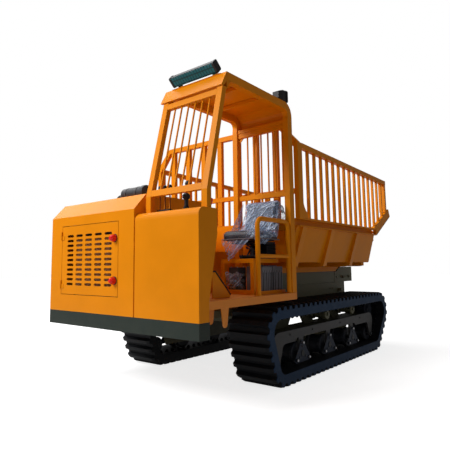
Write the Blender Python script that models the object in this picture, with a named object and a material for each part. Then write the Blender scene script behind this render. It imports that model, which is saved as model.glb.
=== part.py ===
"""Tracked dumper: rubber tracks, open operator's cab, engine hood and a tipping load bed.

Metres, +Z up, the machine faces -Y and the operator sits on the +X side.
Sizes along Y are measured from the front face of the hood, and an empty named
machine_centre moves the whole machine so that its middle stands on the origin.
"""
import math

import bmesh
import bpy
from mathutils import Matrix, Vector

# Driving dimensions
SEAT = 0.0003                 # gap between two parts that touch
BODY_HALF = 1.0               # hood, console and bumper, half of the width
SHEET = 0.005                 # folded sheet steel

BUMPER_LOW = 0.563
BUMPER_HEIGHT = 0.128
BUMPER_DEPTH = 0.12

HOOD_FRONT_TOP = 1.598
HOOD_TOP = 1.743
HOOD_SLOPE_RUN = 0.137
HOOD_LENGTH = 0.95

DOOR_LEFT = -0.808
DOOR_WIDTH = 0.868
DOOR_LOW = 0.851
DOOR_HEIGHT = 0.653
DOOR_GAP = 0.005
DOOR_PLATE = 0.010
KNUCKLE = 0.0075
SLOT_LENGTH = 0.108
SLOT_HEIGHT = 0.024
SLOT_COLUMNS = 5
SLOT_ROWS = 11
SLOT_PITCH_X = 0.147
SLOT_PITCH_Z = 0.046
KNOB_RADIUS = 0.032
KNOB_REACH = 0.055

CONSOLE_WIDTH = 0.718
CONSOLE_GAP = 0.013           # between the console and the hood beside it
CONSOLE_TOP = 1.556
CONSOLE_NOSE_RADIUS = 0.062
CONSOLE_DEPTH = 0.22
CONSOLE_FOOT_DEPTH = 0.115
CONSOLE_KNEE_Z = 1.357

CAB_WIDTH = 0.694             # over the side hoops, the right one flush with the console
FLOOR_TOP = 0.842
FLOOR_DEPTH = 0.064
POST_WIDTH = 0.06
POST_DEPTH = 0.08
WINDOW_DEPTH = 0.05
CAB_REAR = 1.435
ROOF_TOP = 2.73
ROOF_BEAM = 0.075
ROOF_FRONT = 0.368
ROOF_BEND = 0.13
ROOF_TAIL_LOW = 2.56
FASCIA_DROP = 0.134
FASCIA_RUN = 0.071
WINDOW_FOOT_Y = 0.100
WINDOW_FOOT_Z = 1.70
WINDOW_TOP_Z = 2.576
WINDOW_LEAN = 0.238           # run towards the rear for each metre of height
WINDOW_BARS = 6
WINDOW_BAR_RADIUS = 0.008
REAR_GUARD_LOW = 1.79
REAR_GUARD_HIGH = 2.53
REAR_BARS = 6
REAR_BAR_FIRST = 0.172        # from the left side of the cab
REAR_BAR_PITCH = 0.086
STAND_TOP = 1.17
CUSHION_LOW = 1.33
CUSHION_TOP = 1.43
ENGINE_WIDTH = 0.72

TRACK_WIDTH = 0.45
TRACK_CLEAR = 0.06            # between the chassis beams and the tracks
BELT = 0.078
LUG = 0.042
LUG_COUNT = 66
END_WHEEL_RADIUS = 0.125      # sprocket and idler, inside the belt
WHEEL_Z = 0.49
SPROCKET_Y = 1.12
IDLER_Y = 3.655
ROLLER_RADIUS = 0.115
END_ROLLER_RADIUS = 0.09
ROLLER_Y = (1.62, 2.23, 2.86)
END_ROLLER_Y = (1.178, 3.455)
CARRIER_Y = (2.30, 3.00)
CARRIER_RADIUS = 0.06
HEAD_REAR = 1.90             # head plate behind the sprocket
TRACK_BEAM_WIDTH = 0.26       # box beam inside the loop
TRACK_BEAM_Z = (0.37, 0.45)
BEAM_INSET = 0.04             # from the inner edge of the track to the box beam
ARM_THICKNESS = 0.06          # arms that carry the sprocket and the idler
GUARD_INSET = 0.08            # from the outer edge of the track to the side rail
GUARD_THICKNESS = 0.025
CARRIER_WIDTH = 0.19
AXLE_Y = (1.50, 2.72)         # cross tubes between the two undercarriages
AXLE_TOP = 0.60

FRAME_HALF = 0.50             # outer face of the chassis beams
FRAME_BEAM = 0.10
FRAME_LOW = 0.62
FRAME_SEAM = 0.866
FRAME_TOP = 1.015
FRAME_REAR = 3.68
UPPER_FRAME_REAR = 3.37
BRACKET_PLATE = 0.016
BRACKET_REAR = 3.95
BRACKET_RISE = 3.55
BRACKET_TOP = 1.073
PIN_RADIUS = 0.022
BRACKET_HOLE_Y = 3.70
LOCK_PIN_Y = 3.61

BED_HALF = 1.023
BED_FRONT = 1.50
BED_REAR = 3.60
BED_FLOOR = 1.135             # underside of the floor plate
BED_SIDE_RUN = 0.158          # how far each side slopes out
BED_RAIL_LOW = 1.491
BED_RAIL_HEIGHT = 0.085
BED_RAIL_WIDTH = 0.07
BED_SHEET = 0.006
RUNNER_HEIGHT = 0.0665
RUNNER_REAR = 3.40
RIB_Y = (1.62, 2.28, 3.00)
RIB_WIDTH = 0.08
RIB_DEPTH = 0.06
REAR_BEAM_Y = 3.49
FENCE_FRONT_TOP = 2.362
FENCE_REAR_TOP = 2.295
FENCE_RAIL = 0.055
FENCE_BARS = 15
FENCE_BAR = 0.028
HEADBOARD_TOP = 2.587
HEADBOARD_TOP_HALF = 0.822
HEADBOARD_PITCH = 0.25
TAIL_RISE = 0.317
TAIL_RUN = 0.607
TAIL_CHANNEL = 0.11

HINGE_Y = 3.83
HINGE_Z = 0.935
BED_TILT = 50
GATE_PIVOT_Y = 3.632
GATE_PIVOT_Z = 1.54
BED_END_SLANT = 0.08          # the end of the trough leans back towards its floor

HOIST_FOOT_Y = 2.10
HOIST_FOOT_Z = 0.66
HOIST_EYE_Y = 3.45
HOIST_EYE_Z = 1.00
HOIST_RADIUS = 0.055
ROD_RADIUS = 0.032

BUMPER_TOP = BUMPER_LOW + BUMPER_HEIGHT
BED_FLOOR_HALF = BED_HALF - BED_SIDE_RUN
CONSOLE_LEFT = BODY_HALF - CONSOLE_WIDTH
HOOD_RIGHT = CONSOLE_LEFT - CONSOLE_GAP
CAB_LEFT = BODY_HALF - CAB_WIDTH
TRACK_INNER = FRAME_HALF + TRACK_CLEAR
TRACK_HALF = TRACK_INNER + TRACK_WIDTH
TRACK_CENTRE = TRACK_HALF - TRACK_WIDTH / 2
AXLE_REACH = TRACK_INNER + BEAM_INSET
TRACK_BEAM_X = (AXLE_REACH, AXLE_REACH + TRACK_BEAM_WIDTH)
ARM_X = (AXLE_REACH, AXLE_REACH + ARM_THICKNESS)
GUARD_X = (TRACK_HALF - GUARD_INSET - GUARD_THICKNESS, TRACK_HALF - GUARD_INSET)
AXLE_Z = LUG + BELT + ROLLER_RADIUS
END_AXLE_Z = LUG + BELT + END_ROLLER_RADIUS
DOOR_AXIS_X = DOOR_LEFT - DOOR_GAP
DOOR_AXIS_Y = -0.008
TAIL_TIP_Y = BED_REAR - 0.03 + TAIL_RUN
CENTRE_Y = (TAIL_TIP_Y - KNOB_REACH) / 2


# Shared modelling steps

def prism(points, axis, low, high):
    """Closed outline in the plane across an axis, pushed along that axis."""
    place = {
        "X": lambda a, b: (low, a, b),
        "Y": lambda a, b: (a, low, b),
        "Z": lambda a, b: (a, b, low),
    }[axis]
    step = {"X": (high - low, 0, 0), "Y": (0, high - low, 0), "Z": (0, 0, high - low)}[axis]
    bm = bmesh.new()
    face = bm.faces.new([bm.verts.new(place(a, b)) for a, b in points])
    pushed = bmesh.ops.extrude_face_region(bm, geom=[face])
    verts = [item for item in pushed["geom"] if isinstance(item, bmesh.types.BMVert)]
    bmesh.ops.translate(bm, verts=verts, vec=step)
    bmesh.ops.recalc_face_normals(bm, faces=bm.faces)
    return bm


def box(x, y, z):
    """Block between two values on each axis."""
    return prism([(y[0], z[0]), (y[1], z[0]), (y[1], z[1]), (y[0], z[1])], "X", x[0], x[1])


def arc(centre, radius, start, end, steps):
    """Points on an arc, angles in degrees."""
    points = []
    for i in range(steps + 1):
        angle = math.radians(start + (end - start) * i / steps)
        points.append((centre[0] + radius * math.cos(angle), centre[1] + radius * math.sin(angle)))
    return points


def rod(start, end, radius, sides=12):
    """Round bar between two points."""
    start, end = Vector(start), Vector(end)
    bm = bmesh.new()
    bmesh.ops.create_cone(bm, cap_ends=True, segments=sides, radius1=radius, radius2=radius,
                          depth=(end - start).length)
    turn = (end - start).to_track_quat("Z", "Y").to_matrix().to_4x4()
    bmesh.ops.transform(bm, verts=bm.verts, matrix=Matrix.Translation((start + end) / 2) @ turn)
    return bm


def turned(profile, centre, axis="X", sides=24):
    """Profile of (place along the axis, radius) pairs spun into a closed solid."""
    bm = bmesh.new()
    verts = [bm.verts.new((along, radius, 0)) for along, radius in profile]
    edges = [bm.edges.new(pair) for pair in zip(verts, verts[1:])]
    bmesh.ops.spin(bm, geom=verts + edges, cent=(0, 0, 0), axis=(1, 0, 0), angle=math.tau,
                   steps=sides, use_merge=True)
    bmesh.ops.remove_doubles(bm, verts=bm.verts, dist=1e-6)
    if axis == "Y":
        bmesh.ops.rotate(bm, verts=bm.verts, matrix=Matrix.Rotation(math.pi / 2, 3, "Z"))
    if axis == "Z":
        bmesh.ops.rotate(bm, verts=bm.verts, matrix=Matrix.Rotation(-math.pi / 2, 3, "Y"))
    bmesh.ops.translate(bm, verts=bm.verts, vec=centre)
    bmesh.ops.recalc_face_normals(bm, faces=bm.faces)
    return bm


def filleted(points, radius, steps=4):
    """Route through points with its inner corners rounded."""
    route = [Vector(points[0])]
    for before, corner, after in zip(points, points[1:], points[2:]):
        before, corner, after = Vector(before), Vector(corner), Vector(after)
        back = (before - corner).normalized()
        ahead = (after - corner).normalized()
        half = back.angle(ahead) / 2
        reach = radius / math.tan(half)
        middle = corner + (back + ahead).normalized() * radius / math.sin(half)
        first = corner + back * reach - middle
        last = corner + ahead * reach - middle
        for i in range(steps + 1):
            route.append(middle + first.slerp(last, i / steps) * radius)
    route.append(Vector(points[-1]))
    return route


def bent_tube(points, radius, bend, sides=12):
    """Round tube along a route that lies in one plane, with bent corners."""
    route = filleted(points, bend)
    across = (route[1] - route[0]).cross(route[-1] - route[0])
    if across.length < 1e-9:
        across = (route[1] - route[0]).orthogonal()
    across.normalize()
    bm = bmesh.new()
    loops = []
    for i, point in enumerate(route):
        behind = route[max(i - 1, 0)]
        front = route[min(i + 1, len(route) - 1)]
        along = (front - behind).normalized()
        up = across.cross(along)
        ring = []
        for k in range(sides):
            angle = math.tau * k / sides
            ring.append(bm.verts.new(point + radius * (math.cos(angle) * across + math.sin(angle) * up)))
        loops.append([bm.edges.new((ring[k], ring[(k + 1) % sides])) for k in range(sides)])
    for one, other in zip(loops, loops[1:]):
        bmesh.ops.bridge_loops(bm, edges=one + other)
    bmesh.ops.holes_fill(bm, edges=loops[0] + loops[-1], sides=0)
    bmesh.ops.recalc_face_normals(bm, faces=bm.faces)
    return bm


def gathered(shells):
    """One bmesh that holds all the shells."""
    bm = bmesh.new()
    for shell in shells:
        mesh = bpy.data.meshes.new("shell")
        shell.to_mesh(mesh)
        shell.free()
        bm.from_mesh(mesh)
        bpy.data.meshes.remove(mesh)
    return bm


def combined(base, tools, operation):
    """Exact union or difference of one solid with others."""
    pair = []
    for bm in (base, gathered(tools)):
        mesh = bpy.data.meshes.new("stock")
        bm.to_mesh(mesh)
        bm.free()
        stock = bpy.data.objects.new("stock", mesh)
        bpy.context.collection.objects.link(stock)
        pair.append(stock)
    joint = pair[0].modifiers.new("joint", "BOOLEAN")
    joint.operation = operation
    joint.solver = "EXACT"
    joint.use_self = True
    joint.object = pair[1]
    graph = bpy.context.evaluated_depsgraph_get()
    mesh = bpy.data.meshes.new_from_object(pair[0].evaluated_get(graph))
    result = bmesh.new()
    result.from_mesh(mesh)
    for stock in pair:
        old = stock.data
        bpy.data.objects.remove(stock)
        bpy.data.meshes.remove(old)
    bpy.data.meshes.remove(mesh)
    bmesh.ops.remove_doubles(result, verts=result.verts, dist=1e-5)
    return result


def welded(*shells):
    return combined(shells[0], shells[1:], "UNION")


def cut(base, *tools):
    return combined(base, tools, "DIFFERENCE")


MATERIALS = {
    "orange": ((0.855, 0.279, 0.002), 0.42, 0.0),
    "slate": ((0.045, 0.058, 0.052), 0.55, 0.0),
    "olive": ((0.046, 0.046, 0.030), 0.60, 0.0),
    "rubber": ((0.012, 0.012, 0.017), 0.75, 0.0),
    "black": ((0.012, 0.012, 0.013), 0.50, 0.0),
    "grey": ((0.050, 0.052, 0.060), 0.45, 0.0),
    "steel": ((0.35, 0.35, 0.36), 0.30, 1.0),
    "red": ((0.75, 0.015, 0.008), 0.35, 0.0),
    "lens": ((0.010, 0.120, 0.150), 0.10, 0.0),
    "vinyl": ((0.020, 0.020, 0.024), 0.55, 0.0),
}


def finish(name):
    """Painted or moulded surface, made once and shared."""
    if name in bpy.data.materials:
        return bpy.data.materials[name]
    colour, roughness, metallic = MATERIALS[name]
    material = bpy.data.materials.new(name)
    material.use_nodes = True
    surface = material.node_tree.nodes["Principled BSDF"]
    surface.inputs["Base Color"].default_value = (*colour, 1)
    surface.inputs["Roughness"].default_value = roughness
    surface.inputs["Metallic"].default_value = metallic
    material.diffuse_color = (*colour, 1)
    return material


def pivot(name, place, parent):
    """Empty on a joint's axis, placed in the machine's own sizes."""
    empty = bpy.data.objects.new(name, None)
    bpy.context.collection.objects.link(empty)
    empty.parent = parent
    offset = Vector(parent["place"]) if parent else Vector((0, 0, 0))
    empty.location = Vector(place) - offset
    empty["place"] = list(place)
    return empty


def part(name, bm, material, parent, round_shape=False):
    """Named object whose mesh is moved into the frame of its pivot."""
    bmesh.ops.translate(bm, verts=bm.verts, vec=-Vector(parent["place"]))
    mesh = bpy.data.meshes.new(name)
    bm.to_mesh(mesh)
    bm.free()
    if round_shape:
        mesh.shade_smooth()
        mesh.set_sharp_from_angle(angle=math.radians(35))
    mesh.materials.append(finish(material))
    item = bpy.data.objects.new(name, mesh)
    bpy.context.collection.objects.link(item)
    item.parent = parent
    return item


for old in list(bpy.data.objects):
    bpy.data.objects.remove(old)

MACHINE = pivot("machine_centre", (0, 0, 0), None)
MACHINE.location = (0, -CENTRE_Y, 0)
BED = pivot("bed_pivot", (0, HINGE_Y, HINGE_Z), MACHINE)
GATE = pivot("tailgate_pivot", (0, GATE_PIVOT_Y, GATE_PIVOT_Z), BED)
DOOR = pivot("hood_door_pivot", (DOOR_AXIS_X, DOOR_AXIS_Y, DOOR_LOW), MACHINE)
HOIST = pivot("hoist_foot_pivot", (0, HOIST_FOOT_Y, HOIST_FOOT_Z), MACHINE)
ROD = pivot("hoist_rod_pivot", (0, HOIST_EYE_Y, HOIST_EYE_Z), HOIST)


# Chassis

def front_bumper():
    """Channel beam across the front, its open side to the rear."""
    low, high, wall = BUMPER_LOW, BUMPER_TOP - SEAT, 0.010
    outline = [(0, low), (BUMPER_DEPTH, low), (BUMPER_DEPTH, low + wall), (wall, low + wall),
               (wall, high - wall), (BUMPER_DEPTH, high - wall), (BUMPER_DEPTH, high), (0, high)]
    beam = prism(outline, "X", -BODY_HALF, BODY_HALF)
    ends = []
    for side in (-1, 1):
        inner = side * (BODY_HALF - wall)
        outer = side * BODY_HALF
        ends.append(box(sorted((inner, outer)), (wall / 2, BUMPER_DEPTH), (low + wall / 2, high - wall / 2)))
    part("front_bumper", welded(beam, *ends), "slate", MACHINE)


def chassis_frame():
    """Two lower beams, stepped down under the cab, with their cross members."""
    step_y = CAB_REAR + 0.012
    front = BUMPER_DEPTH + SEAT
    front_top = BUMPER_TOP - 0.003
    outline = [(front, FRAME_LOW), (FRAME_REAR, FRAME_LOW), (FRAME_REAR, FRAME_SEAM),
               (step_y, FRAME_SEAM), (step_y, front_top), (front, front_top)]
    shells = []
    for side in (-1, 1):
        span = sorted((side * (FRAME_HALF - FRAME_BEAM), side * FRAME_HALF))
        shells.append(prism(outline, "X", *span))
    reach = FRAME_HALF - FRAME_BEAM / 2
    for y in (front, 0.60, 1.30, HOIST_FOOT_Y - 0.16, FRAME_REAR - 0.10):
        shells.append(box((-reach, reach), (y + 0.001, y + 0.099), (FRAME_LOW + 0.005, front_top)))
    for y in (0.50, 1.30):
        mount = (front_top - 0.01, FLOOR_TOP - FLOOR_DEPTH - SEAT)
        shells.append(box((FRAME_HALF - FRAME_BEAM + 0.01, FRAME_HALF - 0.01), (y, y + 0.08), mount))
    for y in AXLE_Y:
        shells.append(box((-AXLE_REACH, AXLE_REACH), (y - 0.06, y + 0.06), (FRAME_LOW - 0.12, AXLE_TOP)))
        shells.append(box((-FRAME_HALF, FRAME_HALF), (y - 0.05, y + 0.05), (AXLE_TOP - 0.01, FRAME_LOW + 0.01)))
    foot_wall = 0.02
    for side in (-1, 1):
        span = sorted((side * (0.062), side * (0.062 + foot_wall)))
        lug = arc((HOIST_FOOT_Y, HOIST_FOOT_Z), 0.05, -90, 90, 8)
        lug += [(HOIST_FOOT_Y - 0.14, HOIST_FOOT_Z + 0.025), (HOIST_FOOT_Y - 0.14, HOIST_FOOT_Z - 0.03)]
        shells.append(prism(lug, "X", *span))
        stop = (3.48, 0.763)
        shells.append(prism(arc(stop, 0.022, 0, 180, 6) + [(stop[0] - 0.04, 0.743), (stop[0] + 0.04, 0.743)],
                            "X", *sided(side, FRAME_HALF - 0.01, FRAME_HALF + 0.045)))
    part("chassis_frame", welded(*shells), "olive", MACHINE)


def main_frame():
    """Upper beams on the lower ones, with the brackets that hold the bed's pins."""
    low = FRAME_SEAM + SEAT
    front = CAB_REAR + 0.012
    shells = []
    for side in (-1, 1):
        outer, inner = side * FRAME_HALF, side * (FRAME_HALF - FRAME_BEAM)
        shells.append(box(sorted((outer, inner)), (front, UPPER_FRAME_REAR), (low, FRAME_TOP)))
        bracket = [(UPPER_FRAME_REAR - 0.02, low), (BRACKET_REAR, low), (BRACKET_REAR, BRACKET_TOP),
                   (BRACKET_RISE, BRACKET_TOP), (BRACKET_RISE - 0.115, FRAME_TOP - 0.004),
                   (UPPER_FRAME_REAR - 0.02, FRAME_TOP - 0.004)]
        for face in (FRAME_HALF, FRAME_HALF - FRAME_BEAM + BRACKET_PLATE):
            span = sorted((side * face, side * (face - BRACKET_PLATE)))
            holes = [rod((span[0] - 0.01, y, HINGE_Z), (span[1] + 0.01, y, HINGE_Z), 0.013, 12)
                     for y in (UPPER_FRAME_REAR + 0.06, BRACKET_HOLE_Y)]
            shells.append(cut(prism(bracket, "X", *span), *holes))
        pin = HINGE_Y, HINGE_Z
        ends = side * (FRAME_HALF + 0.012), side * (FRAME_HALF - FRAME_BEAM - 0.012)
        shells.append(rod((ends[0], *pin), (ends[1], *pin), PIN_RADIUS, 16))
        stud = side * (FRAME_HALF - 0.004), side * (FRAME_HALF + 0.03)
        shells.append(rod((stud[0], LOCK_PIN_Y, HINGE_Z), (stud[1], LOCK_PIN_Y, HINGE_Z), 0.018, 12))
    reach = FRAME_HALF - FRAME_BEAM / 2
    for y in (front + 0.02, HOIST_EYE_Y + 0.13):
        shells.append(box((-reach, reach), (y, y + 0.07), (low + 0.008, FRAME_TOP - 0.07)))
    part("main_frame", welded(*shells), "olive", MACHINE)


# Undercarriage

def belt_loop(wheels, offset):
    """Belt around wheels of (y, z, radius): pieces of straight line and arc, in order."""
    pieces = []
    count = len(wheels)
    touch = []
    for i in range(count):
        y0, z0, r0 = wheels[i]
        y1, z1, r1 = wheels[(i + 1) % count]
        r0, r1 = r0 + offset, r1 + offset
        gap = math.hypot(y1 - y0, z1 - z0)
        heading = math.atan2(z1 - z0, y1 - y0)
        normal = heading - math.pi / 2 + math.asin((r1 - r0) / gap) * -1
        touch.append(normal)
    for i in range(count):
        y0, z0, r0 = wheels[i]
        start, end = touch[i - 1], touch[i]
        while end < start - 1e-9:
            end += math.tau
        pieces.append(("arc", (y0, z0), r0 + offset, start, end))
        y1, z1, r1 = wheels[(i + 1) % count]
        a = (y0 + (r0 + offset) * math.cos(touch[i]), z0 + (r0 + offset) * math.sin(touch[i]))
        b = (y1 + (r1 + offset) * math.cos(touch[i]), z1 + (r1 + offset) * math.sin(touch[i]))
        pieces.append(("line", a, b, touch[i]))
    return pieces


def piece_length(piece):
    if piece[0] == "arc":
        return piece[2] * (piece[4] - piece[3])
    return math.dist(piece[1], piece[2])


def point_on(pieces, distance, height):
    """Place on the belt at a distance along it, raised outwards by a height."""
    for piece in pieces:
        length = piece_length(piece)
        if distance <= length:
            break
        distance -= length
    if piece[0] == "arc":
        angle = piece[3] + distance / piece[2]
        base = (piece[1][0] + piece[2] * math.cos(angle), piece[1][1] + piece[2] * math.sin(angle))
    else:
        angle = piece[3]
        share = distance / length
        base = tuple(a + (b - a) * share for a, b in zip(piece[1], piece[2]))
    return base[0] + height * math.cos(angle), base[1] + height * math.sin(angle)


def track_wheels():
    """Wheels that the belt bends round, from the front roller on, as (y, z, radius)."""
    front, rear = END_ROLLER_Y
    return [(front, END_AXLE_Z, END_ROLLER_RADIUS), (rear, END_AXLE_Z, END_ROLLER_RADIUS),
            (IDLER_Y, WHEEL_Z, END_WHEEL_RADIUS), (SPROCKET_Y, WHEEL_Z, END_WHEEL_RADIUS)]


def closed_ring(bm, x, points):
    verts = [bm.verts.new((x, y, z)) for y, z in points]
    return [bm.edges.new((verts[i], verts[(i + 1) % len(verts)])) for i in range(len(verts))]


def track(side):
    """Rubber belt in one loop, with a cross lug at every pitch, lower at both shoulders."""
    outer = belt_loop(track_wheels(), BELT + SEAT)
    total = sum(piece_length(piece) for piece in outer)
    pitch = total / LUG_COUNT
    marks = ((0.00, 0), (0.30, 0), (0.42, 1), (0.78, 1), (0.90, 0))
    bm = bmesh.new()
    edge = side * TRACK_HALF
    inner_edge = side * (TRACK_HALF - TRACK_WIDTH)
    shoulder = side * 0.04
    rings = []
    for x, share in ((edge, 0.75), (edge - shoulder, 1.0), (inner_edge + shoulder, 1.0), (inner_edge, 0.75)):
        points = []
        for i in range(LUG_COUNT):
            for mark, raised in marks[1:]:
                points.append(point_on(outer, (i + mark) * pitch, raised * share * LUG))
        rings.append(closed_ring(bm, x, points))
    for one, other in zip(rings, rings[1:]):
        bmesh.ops.bridge_loops(bm, edges=one + other)
    inside = []
    for piece in belt_loop(track_wheels(), SEAT):
        if piece[0] == "arc":
            steps = max(2, round(math.degrees(piece[4] - piece[3]) / 15))
            turn = (math.degrees(piece[3]), math.degrees(piece[4]))
            clear = piece[2] / math.cos((piece[4] - piece[3]) / steps / 2)
            inside.extend(arc(piece[1], clear, *turn, steps))
    inner_rings = [closed_ring(bm, x, inside) for x in (edge, inner_edge)]
    bmesh.ops.bridge_loops(bm, edges=inner_rings[0] + inner_rings[1])
    bmesh.ops.triangle_fill(bm, edges=rings[0] + inner_rings[0], use_beauty=True)
    bmesh.ops.triangle_fill(bm, edges=rings[-1] + inner_rings[1], use_beauty=True)
    bmesh.ops.recalc_face_normals(bm, faces=bm.faces)
    return bm


def sided(side, low, high):
    """The same stretch of X on the right or the left."""
    return sorted((side * low, side * high))


def guard_rail():
    """Side rail over the rollers: stepped lower edge, both ends curved down to the end axles."""
    front, rear = END_ROLLER_Y
    low, high, hand = 0.395, 0.48, 0.035
    first, last = ROLLER_Y[0] - 0.12, ROLLER_Y[-1] + 0.12
    outline = arc((front, END_AXLE_Z), hand, 190, 370, 6)
    outline += arc((front + 0.14, low - 0.10), 0.07, 180, 90, 4)
    outline += [(first, low - 0.03), (first + 0.03, low)]
    outline += [(last - 0.03, low), (last, low - 0.03)]
    outline += arc((rear - 0.14, low - 0.10), 0.07, 90, 0, 4)
    outline += arc((rear, END_AXLE_Z), hand, 170, 350, 6)
    outline += arc((rear - 0.02, high - 0.10), 0.10, 0, 90, 5)
    outline += arc((front + 0.02, high - 0.10), 0.10, 90, 180, 5)
    return outline


def track_frame(side):
    """Box beam inside the loop, its arms to sprocket and idler, and the carrier rollers."""
    name = "left" if side < 0 else "right"
    low, high = TRACK_BEAM_Z
    shells = [box(sided(side, *TRACK_BEAM_X), (SPROCKET_Y + 0.18, IDLER_Y - 0.18), (low, high))]
    for y in AXLE_Y:
        pad = sided(side, AXLE_REACH + SEAT, AXLE_REACH + 0.06)
        shells.append(box(pad, (y - 0.08, y + 0.08), (high - 0.01, AXLE_TOP + 0.005)))
    for wheel_y, toward in ((SPROCKET_Y, 1), (IDLER_Y, -1)):
        root = wheel_y + toward * 0.24
        turn = (250, 70) if toward > 0 else (290, 470)
        outline = [(root, low + 0.004)] + arc((wheel_y, WHEEL_Z), 0.07, *turn, 8)
        outline += [(HEAD_REAR, WHEEL_Z + 0.07), (HEAD_REAR - 0.08, high - 0.004)] if toward > 0 else []
        outline += [(root, high - 0.004)] if toward < 0 else []
        shells.append(prism(outline, "X", *sided(side, *ARM_X)))
    carrier_z = WHEEL_Z + END_WHEEL_RADIUS - CARRIER_RADIUS - 0.002
    rim = CARRIER_RADIUS
    for y in CARRIER_Y:
        post_top = carrier_z + 0.028
        post = [(y - 0.14, high - 0.01), (y + 0.05, high - 0.01), (y + 0.03, post_top), (y - 0.25, post_top)]
        inner = ARM_X[1] - 0.005
        shells.append(prism(post, "X", *sided(side, inner, inner + 0.03)))
        wide, start = CARRIER_WIDTH, inner + 0.05
        profile = [(0, 0), (0, rim - 0.006), (0.006, rim), (0.02, rim), (0.028, rim - 0.016),
                   (wide - 0.028, rim - 0.016), (wide - 0.02, rim), (wide - 0.006, rim), (wide, rim - 0.006), (wide, 0)]
        shells.append(turned(profile, (start if side > 0 else -start - wide, y, carrier_z), "X", 16))
        axle = side * (inner + 0.015), side * (start + wide + 0.015)
        shells.append(rod((axle[0], y, carrier_z), (axle[1], y, carrier_z), 0.020, 10))
    front, rear = END_ROLLER_Y
    plate = [(front - 0.02, low + 0.01), (front + 0.06, 0.215), (rear - 0.06, 0.215), (rear + 0.02, low + 0.01)]
    shells.append(prism(plate, "X", *sided(side, TRACK_BEAM_X[0], TRACK_BEAM_X[0] + 0.014)))
    part("track_frame_" + name, welded(*shells), "olive", MACHINE)


def roller_profile(radius, half):
    """Double-flanged roller, half of its width on either side of the middle."""
    rim = radius - SEAT
    tread = rim - 0.016
    right = [(0, tread), (half - 0.044, tread), (half - 0.036, rim), (half - 0.006, rim)]
    right += [(half, rim - 0.006), (half, 0)]
    return [(-along, radius) for along, radius in reversed(right)] + right[1:]


def roller_set(side):
    """Flanged rollers under the side rail, the three larger ones behind three-bolt covers."""
    name = "left" if side < 0 else "right"
    inner, outer = GUARD_X
    shells = [prism(guard_rail(), "X", *sided(side, inner, outer))]
    rollers = [(y, AXLE_Z, ROLLER_RADIUS) for y in ROLLER_Y]
    rollers += [(y, END_AXLE_Z, END_ROLLER_RADIUS) for y in END_ROLLER_Y]
    for y, z, radius in rollers:
        shells.append(turned(roller_profile(radius, 0.095), (side * TRACK_CENTRE, y, z), "X", 20))
        shells.append(rod((side * (TRACK_CENTRE - 0.13), y, z), (side * (outer + 0.012), y, z), 0.020, 12))
        stay_z = TRACK_BEAM_Z[0] + 0.03
        stay = sided(side, TRACK_BEAM_X[1] + SEAT, inner + 0.002)
        shells.append(box(stay, (y - 0.03, y + 0.03), (stay_z, stay_z + 0.04)))
    for y in ROLLER_Y:
        cover = rounded(arc((y, AXLE_Z), 0.10, 90, 330, 2), 0.028)
        shells.append(prism(cover, "X", *sided(side, inner + 0.006, outer + 0.006)))
        hanger = sided(side, inner + 0.001, outer - 0.004)
        shells.append(box(hanger, (y - 0.045, y + 0.045), (AXLE_Z + 0.004, 0.41)))
        for angle in (90, 210, 330):
            spot = (y + 0.066 * math.cos(math.radians(angle)), AXLE_Z + 0.066 * math.sin(math.radians(angle)))
            shells.append(rod((side * (outer - 0.002), *spot), (side * (outer + 0.016), *spot), 0.011, 6))
    part("roller_set_" + name, welded(*shells), "black", MACHINE, True)


def rounded(points, radius, steps=3):
    """Closed outline with every corner rounded."""
    result = []
    count = len(points)
    for i in range(count):
        before, corner, after = (Vector(points[(i + k) % count]) for k in (-1, 0, 1))
        back = (before - corner).normalized()
        ahead = (after - corner).normalized()
        half = back.angle(ahead) / 2
        reach = radius / math.tan(half)
        middle = corner + (back + ahead).normalized() * radius / math.sin(half)
        first = corner + back * reach - middle
        last = corner + ahead * reach - middle
        for k in range(steps + 1):
            result.append(tuple(middle + first.slerp(last, k / steps) * radius))
    return result


def sprocket(side):
    """Toothed drive wheel on its final drive hub."""
    teeth = 14
    rim = END_WHEEL_RADIUS - SEAT - 0.001
    outline = []
    for i in range(teeth):
        for share, radius in ((0.0, rim - 0.025), (0.28, rim - 0.025), (0.40, rim), (0.60, rim), (0.72, rim - 0.025)):
            if share == 0.0:
                continue
            angle = math.tau * (i + share) / teeth
            outline.append((SPROCKET_Y + radius * math.cos(angle), WHEEL_Z + radius * math.sin(angle)))
    wheel = prism(outline, "X", *sorted((side * (TRACK_CENTRE - 0.02), side * (TRACK_CENTRE + 0.02))))
    inside = TRACK_CENTRE - ARM_X[1] - SEAT
    hub = turned([(-inside, 0), (-inside, 0.075), (0.05, 0.075), (0.07, 0.06), (0.07, 0)] if side > 0 else
                 [(-0.07, 0), (-0.07, 0.06), (-0.05, 0.075), (inside, 0.075), (inside, 0)],
                 (side * TRACK_CENTRE, SPROCKET_Y, WHEEL_Z), "X", 24)
    name = "left" if side < 0 else "right"
    part("sprocket_" + name, welded(wheel, hub), "black", MACHINE, True)


def idler(side):
    """Smooth dished wheel at the rear that turns the belt."""
    rim = END_WHEEL_RADIUS - SEAT
    inside = TRACK_CENTRE - ARM_X[1] - SEAT
    profile = [(-inside, 0), (-inside, 0.045), (-0.03, 0.055), (-0.03, rim - 0.03), (-0.05, rim - 0.012),
               (-0.05, rim), (0.05, rim), (0.05, rim - 0.012), (0.03, rim - 0.03), (0.03, 0.055),
               (0.06, 0.045), (0.06, 0)]
    if side < 0:
        profile = [(-along, radius) for along, radius in reversed(profile)]
    name = "left" if side < 0 else "right"
    part("idler_" + name, turned(profile, (side * TRACK_CENTRE, IDLER_Y, WHEEL_Z), "X", 28), "black", MACHINE, True)


# Hood, engine and what stands on it

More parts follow.
